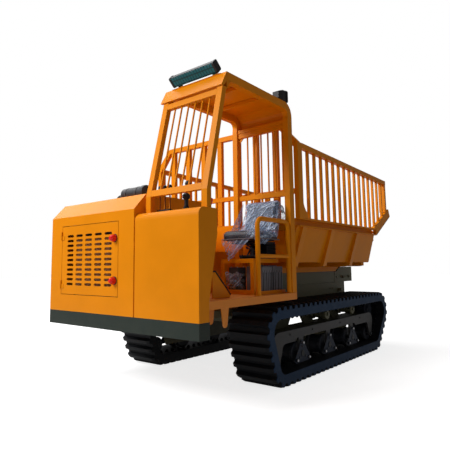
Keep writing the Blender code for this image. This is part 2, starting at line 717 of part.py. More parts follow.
def hood_outline(inset):
    """Side outline of the hood, drawn in by a wall thickness."""
    slope = math.atan2(HOOD_TOP - HOOD_FRONT_TOP, HOOD_SLOPE_RUN)
    knee = inset * math.tan((math.pi / 2 - slope) / 2)
    brow = inset * math.tan(slope / 2)
    return [(inset, BUMPER_TOP), (inset, HOOD_FRONT_TOP - knee), (HOOD_SLOPE_RUN + brow, HOOD_TOP - inset),
            (HOOD_LENGTH - inset, HOOD_TOP - inset), (HOOD_LENGTH - inset, BUMPER_TOP)]


def engine_hood():
    shell = prism(hood_outline(0), "X", -BODY_HALF, HOOD_RIGHT)
    hollow_points = hood_outline(SHEET)
    hollow_points[0] = (SHEET, BUMPER_TOP - 0.05)
    hollow_points[-1] = (HOOD_LENGTH - SHEET, BUMPER_TOP - 0.05)
    hollow = prism(hollow_points, "X", -BODY_HALF + SHEET, HOOD_RIGHT - SHEET)
    opening = box((DOOR_LEFT - DOOR_GAP, DOOR_LEFT + DOOR_WIDTH + DOOR_GAP), (-0.02, SHEET + 0.01),
                  (DOOR_LOW - DOOR_GAP, DOOR_LOW + DOOR_HEIGHT + DOOR_GAP))
    knuckles = []
    for z in (DOOR_LOW + 0.09, DOOR_LOW + DOOR_HEIGHT - 0.09):
        knuckles.append(rod((DOOR_AXIS_X, DOOR_AXIS_Y, z), (DOOR_AXIS_X, DOOR_AXIS_Y, z + 0.04), KNUCKLE, 12))
        knuckles.append(box((DOOR_AXIS_X - 0.03, DOOR_AXIS_X), (-0.004, 0.001), (z + 0.0005, z + 0.0395)))
    part("engine_hood", welded(cut(cut(shell, hollow), opening), *knuckles), "orange", MACHINE)


def slot_outline(x, z):
    half = SLOT_LENGTH / 2 - SLOT_HEIGHT / 2
    radius = SLOT_HEIGHT / 2
    return arc((x + half, z), radius, -90, 90, 3) + arc((x - half, z), radius, 90, 270, 3)


def hood_door():
    """Front door of the hood with its rows of round-ended air slots and two hinge barrels."""
    right = DOOR_LEFT + DOOR_WIDTH
    plate = box((DOOR_LEFT, right), (0, DOOR_PLATE), (DOOR_LOW, DOOR_LOW + DOOR_HEIGHT))
    middle_x = DOOR_LEFT + DOOR_WIDTH / 2
    middle_z = DOOR_LOW + DOOR_HEIGHT / 2 - 0.001
    slots = []
    for column in range(SLOT_COLUMNS):
        x = middle_x + (column - (SLOT_COLUMNS - 1) / 2) * SLOT_PITCH_X
        for row in range(SLOT_ROWS):
            z = middle_z + (row - (SLOT_ROWS - 1) / 2) * SLOT_PITCH_Z
            slots.append(prism(slot_outline(x, z), "Y", -0.02, DOOR_PLATE + 0.02))
    knuckles = []
    for z in (DOOR_LOW + 0.09, DOOR_LOW + DOOR_HEIGHT - 0.09):
        high = z - SEAT
        knuckles.append(rod((DOOR_AXIS_X, DOOR_AXIS_Y, high - 0.04), (DOOR_AXIS_X, DOOR_AXIS_Y, high), KNUCKLE, 12))
        knuckles.append(box((DOOR_AXIS_X + 0.001, DOOR_AXIS_X + 0.04), (-0.004, 0.001), (high - 0.0395, high - 0.0005)))
    part("hood_door", welded(cut(plate, *slots), *knuckles), "orange", DOOR)


def door_knobs():
    """Two red turn knobs that hold the door shut."""
    x = DOOR_LEFT + DOOR_WIDTH - 0.045
    middle_z = DOOR_LOW + DOOR_HEIGHT / 2
    for name, z in (("door_knob_upper", middle_z + 0.181), ("door_knob_lower", middle_z - 0.190)):
        profile = [(0, 0), (0, KNOB_RADIUS), (0.012, KNOB_RADIUS * 0.95), (KNOB_REACH - 0.015, KNOB_RADIUS * 0.8),
                   (KNOB_REACH - SEAT, KNOB_RADIUS * 0.45), (KNOB_REACH - SEAT, 0)]
        turned_knob = turned([(-along, radius) for along, radius in reversed(profile)], (x, -SEAT, z), "Y", 16)
        part(name, turned_knob, "red", DOOR, True)


def engine():
    middle = (HOOD_RIGHT - BODY_HALF) / 2
    across = (middle - ENGINE_WIDTH / 2, middle + ENGINE_WIDTH / 2)
    block = box(across, (0.22, 0.80), (BUMPER_TOP - 0.003 + SEAT, 1.42))
    part("engine_block", block, "grey", MACHINE)


def rear_housing():
    """Closed tank housing behind the hood, lower than it."""
    low, over_track, top = BUMPER_TOP - 0.003 + SEAT, 0.77, 1.25
    left, step = -BODY_HALF + 0.02, -FRAME_HALF - 0.02
    outline = [(left, over_track), (step, over_track), (step, low), (HOOD_RIGHT, low), (HOOD_RIGHT, top), (left, top)]
    part("rear_housing", prism(outline, "Y", HOOD_LENGTH + SEAT, CAB_REAR - 0.02), "orange", MACHINE)


def air_cleaner():
    """Air filter drum that lies across the hood in a saddle, with its cap and a hose stub."""
    y, z, radius = 0.36, HOOD_TOP + 0.070, 0.060
    left, right = -0.30, 0.035
    drum = turned([(left, 0), (left, radius - 0.014), (left + 0.014, radius), (right - 0.05, radius),
                   (right - 0.05, radius + 0.006), (right - 0.008, radius + 0.006), (right, radius - 0.008), (right, 0)],
                  (0, y, z), "X", 28)
    shells = [drum, rod((left - 0.045, y, z - 0.02), (left + 0.01, y, z - 0.02), 0.026, 16)]
    for x in (left + 0.07, right - 0.12):
        deck = HOOD_TOP + SEAT
        foot = [(y - 0.075, deck), (y + 0.075, deck), (y + 0.048, z - 0.012), (y - 0.048, z - 0.012)]
        shells.append(prism(foot, "X", x, x + 0.035))
    part("air_cleaner", welded(*shells), "black", MACHINE, True)


# Cab

def console_outline(inset):
    radius = CONSOLE_NOSE_RADIUS - inset
    top = CONSOLE_TOP - inset
    nose = arc((inset + radius, top - radius), radius, 180, 90, 6)
    return nose + [(CONSOLE_DEPTH - inset, top), (CONSOLE_DEPTH - inset, CONSOLE_KNEE_Z),
                   (CONSOLE_FOOT_DEPTH - inset, FLOOR_TOP), (CONSOLE_FOOT_DEPTH - inset, BUMPER_TOP),
                   (inset, BUMPER_TOP)]


def console():
    """Bent sheet console in front of the operator, open underneath."""
    shell = prism(console_outline(0), "X", CONSOLE_LEFT, BODY_HALF)
    inner = console_outline(SHEET)
    inner[-1] = (inner[-1][0], BUMPER_TOP - 0.05)
    inner[-2] = (inner[-2][0], BUMPER_TOP - 0.05)
    hollow = prism(inner, "X", CONSOLE_LEFT + SHEET, BODY_HALF - SHEET)
    part("console", cut(shell, hollow), "orange", MACHINE)


def cab_floor():
    """Floor tray with a turned-down rim and two tapered lugs under its outer edge."""
    front = CONSOLE_FOOT_DEPTH + SEAT
    low = FLOOR_TOP - FLOOR_DEPTH
    tray = box((HOOD_RIGHT + SEAT, BODY_HALF), (front, CAB_REAR), (low, FLOOR_TOP))
    hollow = box((HOOD_RIGHT + SEAT + 0.04, BODY_HALF - 0.04), (front + 0.04, CAB_REAR - 0.04),
                 (low - 0.02, FLOOR_TOP - 0.006))
    tray = cut(tray, hollow)
    lugs = []
    for x, y in ((BODY_HALF, 0.309), (BODY_HALF - 0.22, 0.40)):
        outline = [(y + 0.055, FLOOR_TOP - 0.003), (y - 0.055, FLOOR_TOP - 0.003)]
        outline += arc((y, low - 0.125), 0.025, 190, 350, 5)
        lugs.append(prism(outline, "X", x - 0.012, x - 0.001))
    part("cab_floor", welded(tray, *lugs), "orange", MACHINE)


def side_hoop():
    """Rear post that bends over into the roof beam, as one outline."""
    depth = POST_DEPTH
    outer = [(CAB_REAR, FLOOR_TOP + SEAT)]
    outer += arc((CAB_REAR - ROOF_BEND, ROOF_TOP - ROOF_BEND), ROOF_BEND, 0, 90, 6)
    outer += [(ROOF_FRONT + 0.004, ROOF_TOP)]
    bend = ROOF_BEND - ROOF_BEAM
    inner = [(ROOF_FRONT + 0.004, ROOF_TOP - ROOF_BEAM)]
    inner += arc((CAB_REAR - ROOF_BEND, ROOF_TOP - ROOF_BEND), bend, 90, 0, 4)
    inner += [(CAB_REAR - depth, ROOF_TOP - ROOF_BEND - 0.05), (CAB_REAR - depth, FLOOR_TOP + SEAT)]
    return outer + inner


def window_y(z):
    """Front face of the leaning window posts at a height."""
    return WINDOW_FOOT_Y + (z - WINDOW_FOOT_Z) * WINDOW_LEAN


def cab_frame():
    """Two side hoops, two leaning front posts on the console and their cross rails."""
    shells = []
    for x in ((CAB_LEFT, CAB_LEFT + POST_WIDTH), (BODY_HALF - POST_WIDTH, BODY_HALF)):
        shells.append(prism(side_hoop(), "X", *x))
        head = ROOF_TOP - FASCIA_DROP - 0.006
        beam = ROOF_TOP - ROOF_BEAM + 0.01
        foot = CONSOLE_TOP + SEAT
        post = [(WINDOW_FOOT_Y, foot), (WINDOW_FOOT_Y + WINDOW_DEPTH, foot),
                (WINDOW_FOOT_Y + WINDOW_DEPTH, WINDOW_FOOT_Z), (window_y(head - 0.03) + WINDOW_DEPTH, head - 0.03),
                (ROOF_FRONT + 0.054, beam), (ROOF_FRONT + 0.004, beam), (ROOF_FRONT + 0.004, head),
                (window_y(head), head), (WINDOW_FOOT_Y, WINDOW_FOOT_Z)]
        shells.append(prism(post, "X", x[0] + 0.0005, x[1] - 0.0005))
    span = (CAB_LEFT + POST_WIDTH - 0.01, BODY_HALF - POST_WIDTH + 0.01)
    for z in ((1.45, 1.50), (REAR_GUARD_HIGH + SEAT, REAR_GUARD_HIGH + 0.04)):
        shells.append(box(span, (CAB_REAR - 0.065, CAB_REAR - 0.015), z))
    part("cab_frame", welded(*shells), "orange", MACHINE)


def cab_roof():
    """Roof sheet between the hoops, bent down behind, with the leaning front fascia."""
    sheet = 0.004
    bend = ROOF_BEND - SEAT
    outer = [(CAB_REAR - SEAT, ROOF_TAIL_LOW)]
    outer += arc((CAB_REAR - ROOF_BEND, ROOF_TOP - ROOF_BEND), bend, 0, 90, 6)
    outer += [(ROOF_FRONT - 0.01, ROOF_TOP - SEAT), (ROOF_FRONT - 0.01, ROOF_TOP - SEAT - sheet)]
    inner = arc((CAB_REAR - ROOF_BEND, ROOF_TOP - ROOF_BEND), bend - sheet, 90, 0, 6)
    inner += [(CAB_REAR - SEAT - sheet, ROOF_TAIL_LOW)]
    left, right = CAB_LEFT + POST_WIDTH + SEAT, BODY_HALF - POST_WIDTH - SEAT
    panel = prism(outer + inner, "X", left, right)
    depth = 0.03
    low = ROOF_TOP - FASCIA_DROP
    fascia = [(ROOF_FRONT, ROOF_TOP - SEAT), (ROOF_FRONT - FASCIA_RUN, low),
              (ROOF_FRONT - FASCIA_RUN + depth, low), (ROOF_FRONT, ROOF_TOP - ROOF_BEAM - 0.01)]
    front = prism(fascia, "X", CAB_LEFT - 0.03, BODY_HALF)
    part("cab_roof", welded(front, panel), "orange", MACHINE)


def window_guard():
    """Leaning frame with six round bars in place of the windscreen."""
    left, right = CAB_LEFT + POST_WIDTH + SEAT, BODY_HALF - POST_WIDTH - SEAT
    rail = 0.055
    shells = []
    for z in (WINDOW_FOOT_Z, WINDOW_TOP_Z - rail):
        outline = [(window_y(z), z), (window_y(z) + WINDOW_DEPTH, z),
                   (window_y(z + rail) + WINDOW_DEPTH, z + rail), (window_y(z + rail), z + rail)]
        shells.append(prism(outline, "X", left, right))
    pitch = (right - left) / (WINDOW_BARS + 1)
    for i in range(WINDOW_BARS):
        x = left + pitch * (i + 1)
        low, high = WINDOW_FOOT_Z + rail - 0.01, WINDOW_TOP_Z - rail + 0.01
        middle = WINDOW_DEPTH / 2
        shells.append(rod((x, window_y(low) + middle, low), (x, window_y(high) + middle, high),
                          WINDOW_BAR_RADIUS, 8))
    part("window_guard", welded(*shells), "orange", MACHINE)


def rear_guard():
    """Barred frame between the rear posts, with small corner gussets."""
    left, right = CAB_LEFT + POST_WIDTH + SEAT, BODY_HALF - POST_WIDTH - SEAT
    y = (CAB_REAR - 0.06, CAB_REAR - 0.02)
    rail = 0.05
    shells = [box((left, right), y, (REAR_GUARD_LOW, REAR_GUARD_LOW + rail)),
              box((left, right), y, (REAR_GUARD_HIGH - rail, REAR_GUARD_HIGH))]
    middle = (y[0] + y[1]) / 2
    for i in range(REAR_BARS):
        x = CAB_LEFT + REAR_BAR_FIRST + REAR_BAR_PITCH * i
        shells.append(rod((x, middle, REAR_GUARD_LOW + rail - 0.01), (x, middle, REAR_GUARD_HIGH - rail + 0.01),
                          0.009, 8))
    for x, side in ((left, 1), (right, -1)):
        high = REAR_GUARD_HIGH - rail + 0.005
        outline = [(x, high), (x + side * 0.07, high), (x, high - 0.07)]
        shells.append(prism(outline, "Y", middle - 0.004, middle + 0.004))
    part("rear_guard", welded(*shells), "orange", MACHINE)


def handrail():
    """Bent tube hoop beside the seat, with one rail across it."""
    x, radius = BODY_HALF - 0.024, 0.022
    front, rear = 0.81, CAB_REAR - POST_DEPTH - radius - SEAT
    top, foot = 1.524, FLOOR_TOP + SEAT
    hoop = bent_tube([(x, front, foot), (x, front, top), (x, rear, top), (x, rear, foot)], radius, 0.065)
    rail = rod((x, front, 1.19), (x, rear, 1.19), radius * 0.8, 12)
    part("handrail", welded(hoop, rail), "orange", MACHINE, True)


def from_cab(*offsets):
    """Places along X, given from the left side of the cab."""
    return tuple(CAB_LEFT + offset for offset in offsets)


def seat_stand():
    """Welded angle frame under the seat with the battery tray beside it."""
    foot, top, bar = FLOOR_TOP + SEAT, STAND_TOP, 0.04
    (x0, x1), y0, y1 = from_cab(0.174, 0.554), 0.91, 1.34
    middle_leg, tray_left, tray_lip = from_cab(0.339, 0.354, 0.574)
    shells = []
    for x, y in ((x0, y0), (x1 - bar, y0), (x0, y1 - bar), (middle_leg, y1 - bar)):
        shells.append(box((x, x + bar), (y, y + bar), (foot, top - 0.001)))
    for y in (y0, y1 - bar):
        shells.append(box((x0 + 0.001, x1 - 0.001), (y + 0.001, y + bar - 0.001), (top - bar, top)))
    for x in (x0, x1 - bar):
        shells.append(box((x + 0.001, x + bar - 0.001), (y0 + 0.001, y1 - 0.001), (top - bar, top)))
    shells.append(box((x0 + 0.001, x1 - 0.001), (y0 + 0.001, y0 + bar - 0.001), (foot, foot + bar)))
    tray_end = 1.41
    shells.append(box((tray_left, tray_lip + 0.008), (y0 + 0.02, tray_end), (foot, foot + 0.008)))
    shells.append(box((tray_lip, tray_lip + 0.008), (y0 + 0.02, tray_end), (foot, foot + 0.03)))
    part("seat_stand", welded(*shells), "orange", MACHINE)


def valve_block():
    part("valve_block", box(from_cab(0.224, 0.329), (0.97, 1.10), (FLOOR_TOP + SEAT, 1.09)), "grey", MACHINE)


def batteries():
    """Two ribbed batteries side by side in the tray."""
    foot = FLOOR_TOP + SEAT + 0.008 + SEAT
    for name, y in (("battery_front", 1.03), ("battery_rear", 1.215)):
        case = box(from_cab(0.386, 0.564), (y, y + 0.175), (foot, 1.09))
        ribs = [box(from_cab(0.562, 0.568), (y + 0.012 + i * 0.02, y + 0.022 + i * 0.02), (foot + 0.02, 1.04))
                for i in range(8)]
        part(name, welded(case, *ribs), "grey", MACHINE)


def seat():
    """Suspension box, cushion and back of the operator's seat."""
    left, right = from_cab(0.204, 0.639)
    base = box((left + 0.05, right - 0.045), (0.95, 1.25), (STAND_TOP + SEAT, CUSHION_LOW - SEAT))
    part("seat_suspension", base, "black", MACHINE)
    cushion = box((left, right), (0.85, 1.27), (CUSHION_LOW, CUSHION_TOP))
    part("seat_cushion", bevelled(cushion, 0.03), "vinyl", MACHINE, True)
    outline = [(1.19, CUSHION_TOP + SEAT), (1.27, CUSHION_TOP + SEAT), (1.335, 1.75), (1.245, 1.75)]
    back = prism(outline, "X", left + 0.01, right - 0.01)
    part("seat_back", bevelled(back, 0.025), "vinyl", MACHINE, True)


def bevelled(bm, width, segments=2):
    """All the edges rounded over."""
    bmesh.ops.bevel(bm, geom=list(bm.edges), offset=width, segments=segments, profile=0.5,
                    affect="EDGES", clamp_overlap=True)
    return bm


def foot_pedal():
    """Foot plate on its bracket, in front of the seat."""
    plate = prism([(0.36, 1.06), (0.375, 1.065), (0.56, 0.875), (0.545, 0.868)], "X", *from_cab(0.434, 0.554))
    stem = box(from_cab(0.484, 0.504), (0.47, 0.50), (FLOOR_TOP + SEAT, 0.955))
    part("foot_pedal", welded(plate, stem), "orange", MACHINE)


def knob(x, y, z, radius):
    """Ball-shaped grip on top of a lever."""
    profile = [(0, 0), (0, radius * 0.5), (radius * 0.5, radius * 0.9), (radius, radius), (radius * 1.6, radius * 0.75),
               (radius * 1.9, radius * 0.3), (radius * 1.9, 0)]
    return turned(profile, (x, y, z), "Z", 12)


def levers():
    """Steering lever on its post, three valve levers and the conical hand lever, on the console."""
    foot = CONSOLE_TOP + SEAT
    x, y = CAB_LEFT + 0.384, 0.199
    post = rod((x, y, foot), (x, y, 1.665), 0.017, 14)
    collar = turned([(0, 0), (0, 0.02), (0.012, 0.032), (0.035, 0.032), (0.05, 0.02), (0.05, 0)], (x, y, 1.655), "Z", 16)
    stem = rod((x, y, 1.69), (x, y + 0.02, 1.78), 0.009, 10)
    part("steering_lever", welded(post, collar, stem, knob(x, y + 0.021, 1.765, 0.027)), "black", MACHINE, True)
    shells = [box(from_cab(0.069, 0.219), (0.162, 0.208), (foot, foot + 0.03))]
    for x in from_cab(0.084, 0.144, 0.204):
        shells.append(rod((x, 0.185, foot + 0.02), (x, 0.190, 1.775), 0.007, 8))
        shells.append(knob(x, 0.190, 1.765, 0.019))
    part("lever_bank", welded(*shells), "black", MACHINE, True)
    grip = turned([(0, 0), (0, 0.011), (0.02, 0.013), (0.06, 0.027), (0.078, 0.027), (0.084, 0.018), (0.084, 0)],
                  (BODY_HALF - 0.05, 0.188, foot), "Z", 14)
    part("side_lever", grip, "red", MACHINE, True)


def lights():
    """Light bar on two feet over the fascia, and the work lamp at the rear of the roof."""
    x0, x1 = CAB_LEFT + 0.079, BODY_HALF - 0.115
    foot_z = ROOF_TOP + SEAT
    tilt = math.radians(49)
    centre = Vector((0, ROOF_FRONT - 0.019, ROOF_TOP + 0.058))

    def leaning(points):
        spun = []
        for a, b in points:
            spun.append((centre.y + a * math.cos(tilt) - b * math.sin(tilt),
                         centre.z + a * math.sin(tilt) + b * math.cos(tilt)))
        return spun
    half = 0.048
    fins = []
    for i in range(6):
        b = -half + 0.003 + i * 0.015
        fins += [(0.058, b), (0.058, b + 0.007), (0.044, b + 0.008), (0.044, b + 0.015)]
    body = leaning([(0.0, -half), (0.044, -half)] + fins + [(0.044, half), (0.0, half)])
    housing = prism(body, "X", x0, x1)
    shells = [housing]
    cap = leaning(rounded([(-0.012, -half - 0.003), (0.06, -half - 0.003), (0.06, half + 0.003),
                           (-0.012, half + 0.003)], 0.015))
    for x in ((x0 - 0.014, x0 + 0.006), (x1 - 0.006, x1 + 0.014)):
        shells.append(prism(cap, "X", *x))
    for x in (x0 + 0.03, x1 - 0.06):
        shells.append(box((x, x + 0.03), (centre.y + 0.042, centre.y + 0.072), (foot_z, centre.z - 0.001)))
    part("light_bar", welded(*shells), "black", MACHINE)
    lens = leaning([(-0.010, -half + 0.004), (-SEAT, -half + 0.004), (-SEAT, half - 0.004), (-0.010, half - 0.004)])
    part("light_lens", prism(lens, "X", x0 + 0.006 + SEAT, x1 - 0.006 - SEAT), "lens", MACHINE)
    x, z = BODY_HALF - 0.08, ROOF_TOP + 0.084
    lamp = loft([((x - 0.035, x + 0.035), (z - 0.04, z + 0.030), 1.27), ((x - 0.048, x + 0.048), (z - 0.052, z + 0.052), 1.33),
                 ((x - 0.05, x + 0.05), (z - 0.057, z + 0.057), 1.40)])
    stem = box((x - 0.015, x + 0.015), (1.30, 1.33), (foot_z, z - 0.034))
    half = 0.058
    bezel = prism(rounded([(x - half, z - 0.065), (x + half, z - 0.065), (x + half, z + 0.065), (x - half, z + 0.065)], 0.018),
                  "Y", 1.395, 1.415)
    part("work_lamp", welded(lamp, stem, bezel), "black", MACHINE)


def loft(stations):
    """Solid through rectangles of (x range, z range) at places along Y."""
    bm = bmesh.new()
    loops = []
    for x, z, y in stations:
        ring = [bm.verts.new((a, y, b)) for a, b in ((x[0], z[0]), (x[1], z[0]), (x[1], z[1]), (x[0], z[1]))]
        loops.append([bm.edges.new((ring[k], ring[(k + 1) % 4])) for k in range(4)])
    for one, other in zip(loops, loops[1:]):
        bmesh.ops.bridge_loops(bm, edges=one + other)
    bmesh.ops.holes_fill(bm, edges=loops[0] + loops[-1], sides=0)
    bmesh.ops.recalc_face_normals(bm, faces=bm.faces)
    return bm


# Load bed

def panel_x(z):
    """Outside of the sloping side panel at a height."""
    share = (z - BED_FLOOR) / (BED_RAIL_LOW - BED_FLOOR)
    return BED_FLOOR_HALF + share * (BED_HALF - 0.035 - BED_FLOOR_HALF)


def tub_outline():
    """Half of the tub's section: floor, sloping side and outward channel rail."""
    t = BED_SHEET
    rail_in = BED_HALF - BED_RAIL_WIDTH
    low, high = BED_RAIL_LOW, BED_RAIL_LOW + BED_RAIL_HEIGHT
    side = panel_x(low)
    outer = [(BED_FLOOR_HALF, BED_FLOOR), (side, low), (BED_HALF, low), (BED_HALF, low + 0.012),
             (rail_in + t, low + 0.012), (rail_in + t, high - 0.012), (BED_HALF, high - 0.012), (BED_HALF, high)]
    inner = [(rail_in, high), (rail_in, low + t), (side - t * 1.3, low + t), (BED_FLOOR_HALF - t * 1.1, BED_FLOOR + t)]
    return outer, inner


def leaned(bm, front):
    """Everything behind a place leans back towards the floor, like the end of the trough."""
    for vert in bm.verts:
        if vert.co.y > front - 0.001 and vert.co.z < BED_RAIL_LOW - 0.001:
            share = (BED_RAIL_LOW - vert.co.z) / (BED_RAIL_LOW - BED_FLOOR)
            vert.co.y += BED_END_SLANT * share
    return bm


def bed_tub():
    """Trough with sloping sides, a channel rail along each edge and a front wall."""
    outer, inner = tub_outline()
    right = outer + inner
    left = [(-x, z) for x, z in reversed(right)]
    outline = right + left
    tub = prism(outline, "Y", BED_FRONT, BED_REAR)
    wall_top = BED_RAIL_LOW + 0.01
    wall = [(BED_FLOOR_HALF - 0.002, BED_FLOOR + 0.001), (panel_x(BED_RAIL_LOW) - 0.003, BED_RAIL_LOW),
            (panel_x(BED_RAIL_LOW) - 0.003, wall_top), (-panel_x(BED_RAIL_LOW) + 0.003, wall_top),
            (-panel_x(BED_RAIL_LOW) + 0.003, BED_RAIL_LOW), (-BED_FLOOR_HALF + 0.002, BED_FLOOR + 0.001)]
    front = prism(wall, "Y", BED_FRONT + 0.0005, BED_FRONT + 0.006)
    part("bed_tub", leaned(welded(tub, front), BED_REAR), "orange", BED)


def bed_underframe():
    """Two runners, cross members whose ends rise as tapered ribs, and the hinge ears."""
    top = BED_FLOOR - SEAT
    runner_low = FRAME_TOP + SEAT
    runner_top = runner_low + RUNNER_HEIGHT
    shells = []
    for side in (-1, 1):
        span = sorted((side * FRAME_HALF, side * (FRAME_HALF - FRAME_BEAM)))
        outline = [(BED_FRONT, runner_low), (RUNNER_REAR, runner_low), (RUNNER_REAR + 0.12, runner_top),
                   (BED_FRONT, runner_top)]
        shells.append(prism(outline, "X", *span))
        ear = sorted((side * (FRAME_HALF - BRACKET_PLATE - 0.008), side * (FRAME_HALF - FRAME_BEAM + BRACKET_PLATE + 0.008)))
        shape = [(REAR_BEAM_Y - 0.03, top - 0.01), (REAR_BEAM_Y + 0.03, top - 0.01)]
        shape += arc((HINGE_Y, HINGE_Z), 0.045, 60, -150, 9)
        shape += [(REAR_BEAM_Y - 0.03, runner_top - 0.03)]
        hole = rod((ear[0] - 0.01, HINGE_Y, HINGE_Z), (ear[1] + 0.01, HINGE_Y, HINGE_Z), PIN_RADIUS + 0.001, 16)
        shells.append(cut(prism(shape, "X", *ear), hole))
    for y in (*RIB_Y, REAR_BEAM_Y):
        half = RIB_WIDTH / 2
        deep = RIB_DEPTH
        low = runner_top - 0.002
        outline = []
        foot = panel_x(BED_FLOOR)
        high = BED_RAIL_LOW - SEAT
        right = [(foot - 0.06, low), (foot + deep * 0.45, low + 0.01), (panel_x(high) + 0.004 + deep * 0.4, high),
                 (panel_x(high) + 0.0015, high), (foot + 0.0015, top)]
        if y > RIB_Y[-1]:
            right = [(foot - 0.06, low), (foot - 0.01, low + 0.01), (foot - 0.01, top)]
        outline = right + [(-x, z) for x, z in reversed(right)]
        shells.append(prism(outline, "Y", y - half, y + half))
    eye = []
    for side in (-1, 1):
        span = sorted((side * 0.045, side * 0.065))
        cheek = [(HOIST_EYE_Y - 0.10, HOIST_EYE_Z + 0.10), (HOIST_EYE_Y - 0.05, HOIST_EYE_Z - 0.04),
                 (HOIST_EYE_Y + 0.05, HOIST_EYE_Z - 0.04), (HOIST_EYE_Y + 0.10, HOIST_EYE_Z + 0.10)]
        eye.append(prism(cheek, "X", *span))
    hoist_beam = box((-FRAME_HALF + FRAME_BEAM / 2, FRAME_HALF - FRAME_BEAM / 2), (HOIST_EYE_Y - 0.09, HOIST_EYE_Y + 0.09),
                     (HOIST_EYE_Z + 0.085, top - 0.001))
    part("bed_underframe", welded(*shells, hoist_beam, *eye), "orange", BED)


def fence_top(y):
    """Top of the side fence, which falls slightly to the rear."""
    share = (y - BED_FRONT) / (TAIL_TIP_Y - 0.12 - BED_FRONT)
    return FENCE_FRONT_TOP + share * (FENCE_REAR_TOP - FENCE_FRONT_TOP)


def headboard():
    """Front fence of the bed with upright posts, three rails and chamfered corners."""
    low = BED_RAIL_LOW + 0.01 + SEAT
    y = (BED_FRONT, BED_FRONT + 0.05)
    rail = 0.055
    shells = []
    corner = BED_HALF - 0.05
    outer = [(-BED_HALF, FENCE_FRONT_TOP), (-HEADBOARD_TOP_HALF, HEADBOARD_TOP), (HEADBOARD_TOP_HALF, HEADBOARD_TOP),
             (BED_HALF, FENCE_FRONT_TOP)]
    drop = rail * 1.15
    inner = [(BED_HALF - 0.04, FENCE_FRONT_TOP - drop), (HEADBOARD_TOP_HALF - 0.02, HEADBOARD_TOP - rail),
             (-HEADBOARD_TOP_HALF + 0.02, HEADBOARD_TOP - rail), (-BED_HALF + 0.04, FENCE_FRONT_TOP - drop)]
    shells.append(prism(outer + inner, "Y", *y))
    inner_side = BED_HALF - BED_RAIL_WIDTH - SEAT
    for side in (-1, 1):
        post = sorted((side * corner, side * BED_HALF))
        shells.append(box(post, (BED_FRONT, BED_FRONT + 0.088),
                          (BED_RAIL_LOW + BED_RAIL_HEIGHT + SEAT, FENCE_FRONT_TOP - 0.004)))
    span = (-inner_side + 0.001, inner_side - 0.001)
    shells.append(box(span, (y[0] + 0.001, y[1] - 0.001), (low, low + 0.05)))
    shells.append(box((-corner - 0.005, corner + 0.005), (y[0] + 0.001, y[1] - 0.001), (1.83, 1.88)))
    count = int(HEADBOARD_TOP_HALF // HEADBOARD_PITCH)
    for i in range(-count, count + 1):
        x = i * HEADBOARD_PITCH
        shells.append(box((x - 0.03, x + 0.03), (y[0] + 0.002, y[1] - 0.002), (low + 0.01, HEADBOARD_TOP - rail + 0.01)))
    part("headboard", welded(*shells), "orange", BED)


def tail_outline():
    """Rising rear channel at the end of each side rail."""
    angle = math.atan2(TAIL_RISE, TAIL_RUN)
    foot = (TAIL_TIP_Y - TAIL_RUN, BED_RAIL_LOW - 0.012)
    tip = (TAIL_TIP_Y, BED_RAIL_LOW - 0.012 + TAIL_RISE)
    rise = Vector((-math.sin(angle), math.cos(angle))) * TAIL_CHANNEL
    return [foot, tip, (tip[0] + rise.x, tip[1] + rise.y), (foot[0] + rise.x, foot[1] + rise.y)]


def side_fence(side):
    """Barred side of the bed, with its rising tail channel, rear stile and front gusset."""
    name = "left" if side < 0 else "right"
    outer, inner = BED_HALF, BED_HALF - 0.05
    deck = BED_RAIL_LOW + BED_RAIL_HEIGHT + SEAT
    front = BED_FRONT + 0.088 + SEAT
    rear = TAIL_TIP_Y - 0.12
    span = sorted((side * inner, side * outer))
    shells = []
    rail = [(front, fence_top(front)), (rear, fence_top(rear)), (rear, fence_top(rear) - FENCE_RAIL),
            (front, fence_top(front) - FENCE_RAIL)]
    shells.append(prism(rail, "X", *span))
    base = sorted((side * (inner + 0.001), side * (outer - 0.001)))
    shells.append(box(base, (front, BED_REAR - 0.02), (deck, deck + 0.008)))
    foot, tip, tip_top, foot_top = tail_outline()
    start = BED_REAR + 2 * SEAT
    slope = TAIL_RISE / TAIL_RUN
    channel = [(start, foot[1] + (start - foot[0]) * slope), tip, tip_top,
               (start, foot_top[1] + (start - foot_top[0]) * slope)]
    shells.append(prism(channel, "X", *sorted((side * (outer - 0.045), side * outer))))
    shells.append(prism([(BED_REAR - 0.08, deck), (start + 0.03, deck), (start + 0.03, deck + 0.05),
                         (BED_REAR - 0.04, deck + 0.03)], "X", *base))
    stile_low = tip_top[1] - 0.05
    shells.append(box(sorted((side * (outer - 0.09), side * (outer - 0.002))), (rear - 0.045, rear - 0.001),
                      (stile_low, fence_top(rear) - 0.003)))
    pitch = (rear - front) / (FENCE_BARS + 1)
    middle = side * (outer + inner) / 2
    for i in range(FENCE_BARS):
        y = front + pitch * (i + 1)
        low = deck + 0.004
        if y > start - 0.03:
            low = foot_top[1] + (y - foot_top[0]) * slope - 0.03
        shells.append(box((middle - FENCE_BAR / 2, middle + FENCE_BAR / 2), (y - FENCE_BAR / 2, y + FENCE_BAR / 2),
                          (low, fence_top(y) - FENCE_RAIL + 0.006)))
    gusset = [(front + 0.0005, deck + 0.004), (front + 0.10, deck + 0.004)]
    gusset += arc((front + 0.16, deck + 0.20), 0.16, 240, 185, 4) + [(front + 0.0005, deck + 0.19)]
    shells.append(prism(gusset, "X", *sorted((side * (outer - 0.012), side * (outer - 0.003)))))
    part("side_fence_" + name, welded(*shells), "orange", BED)


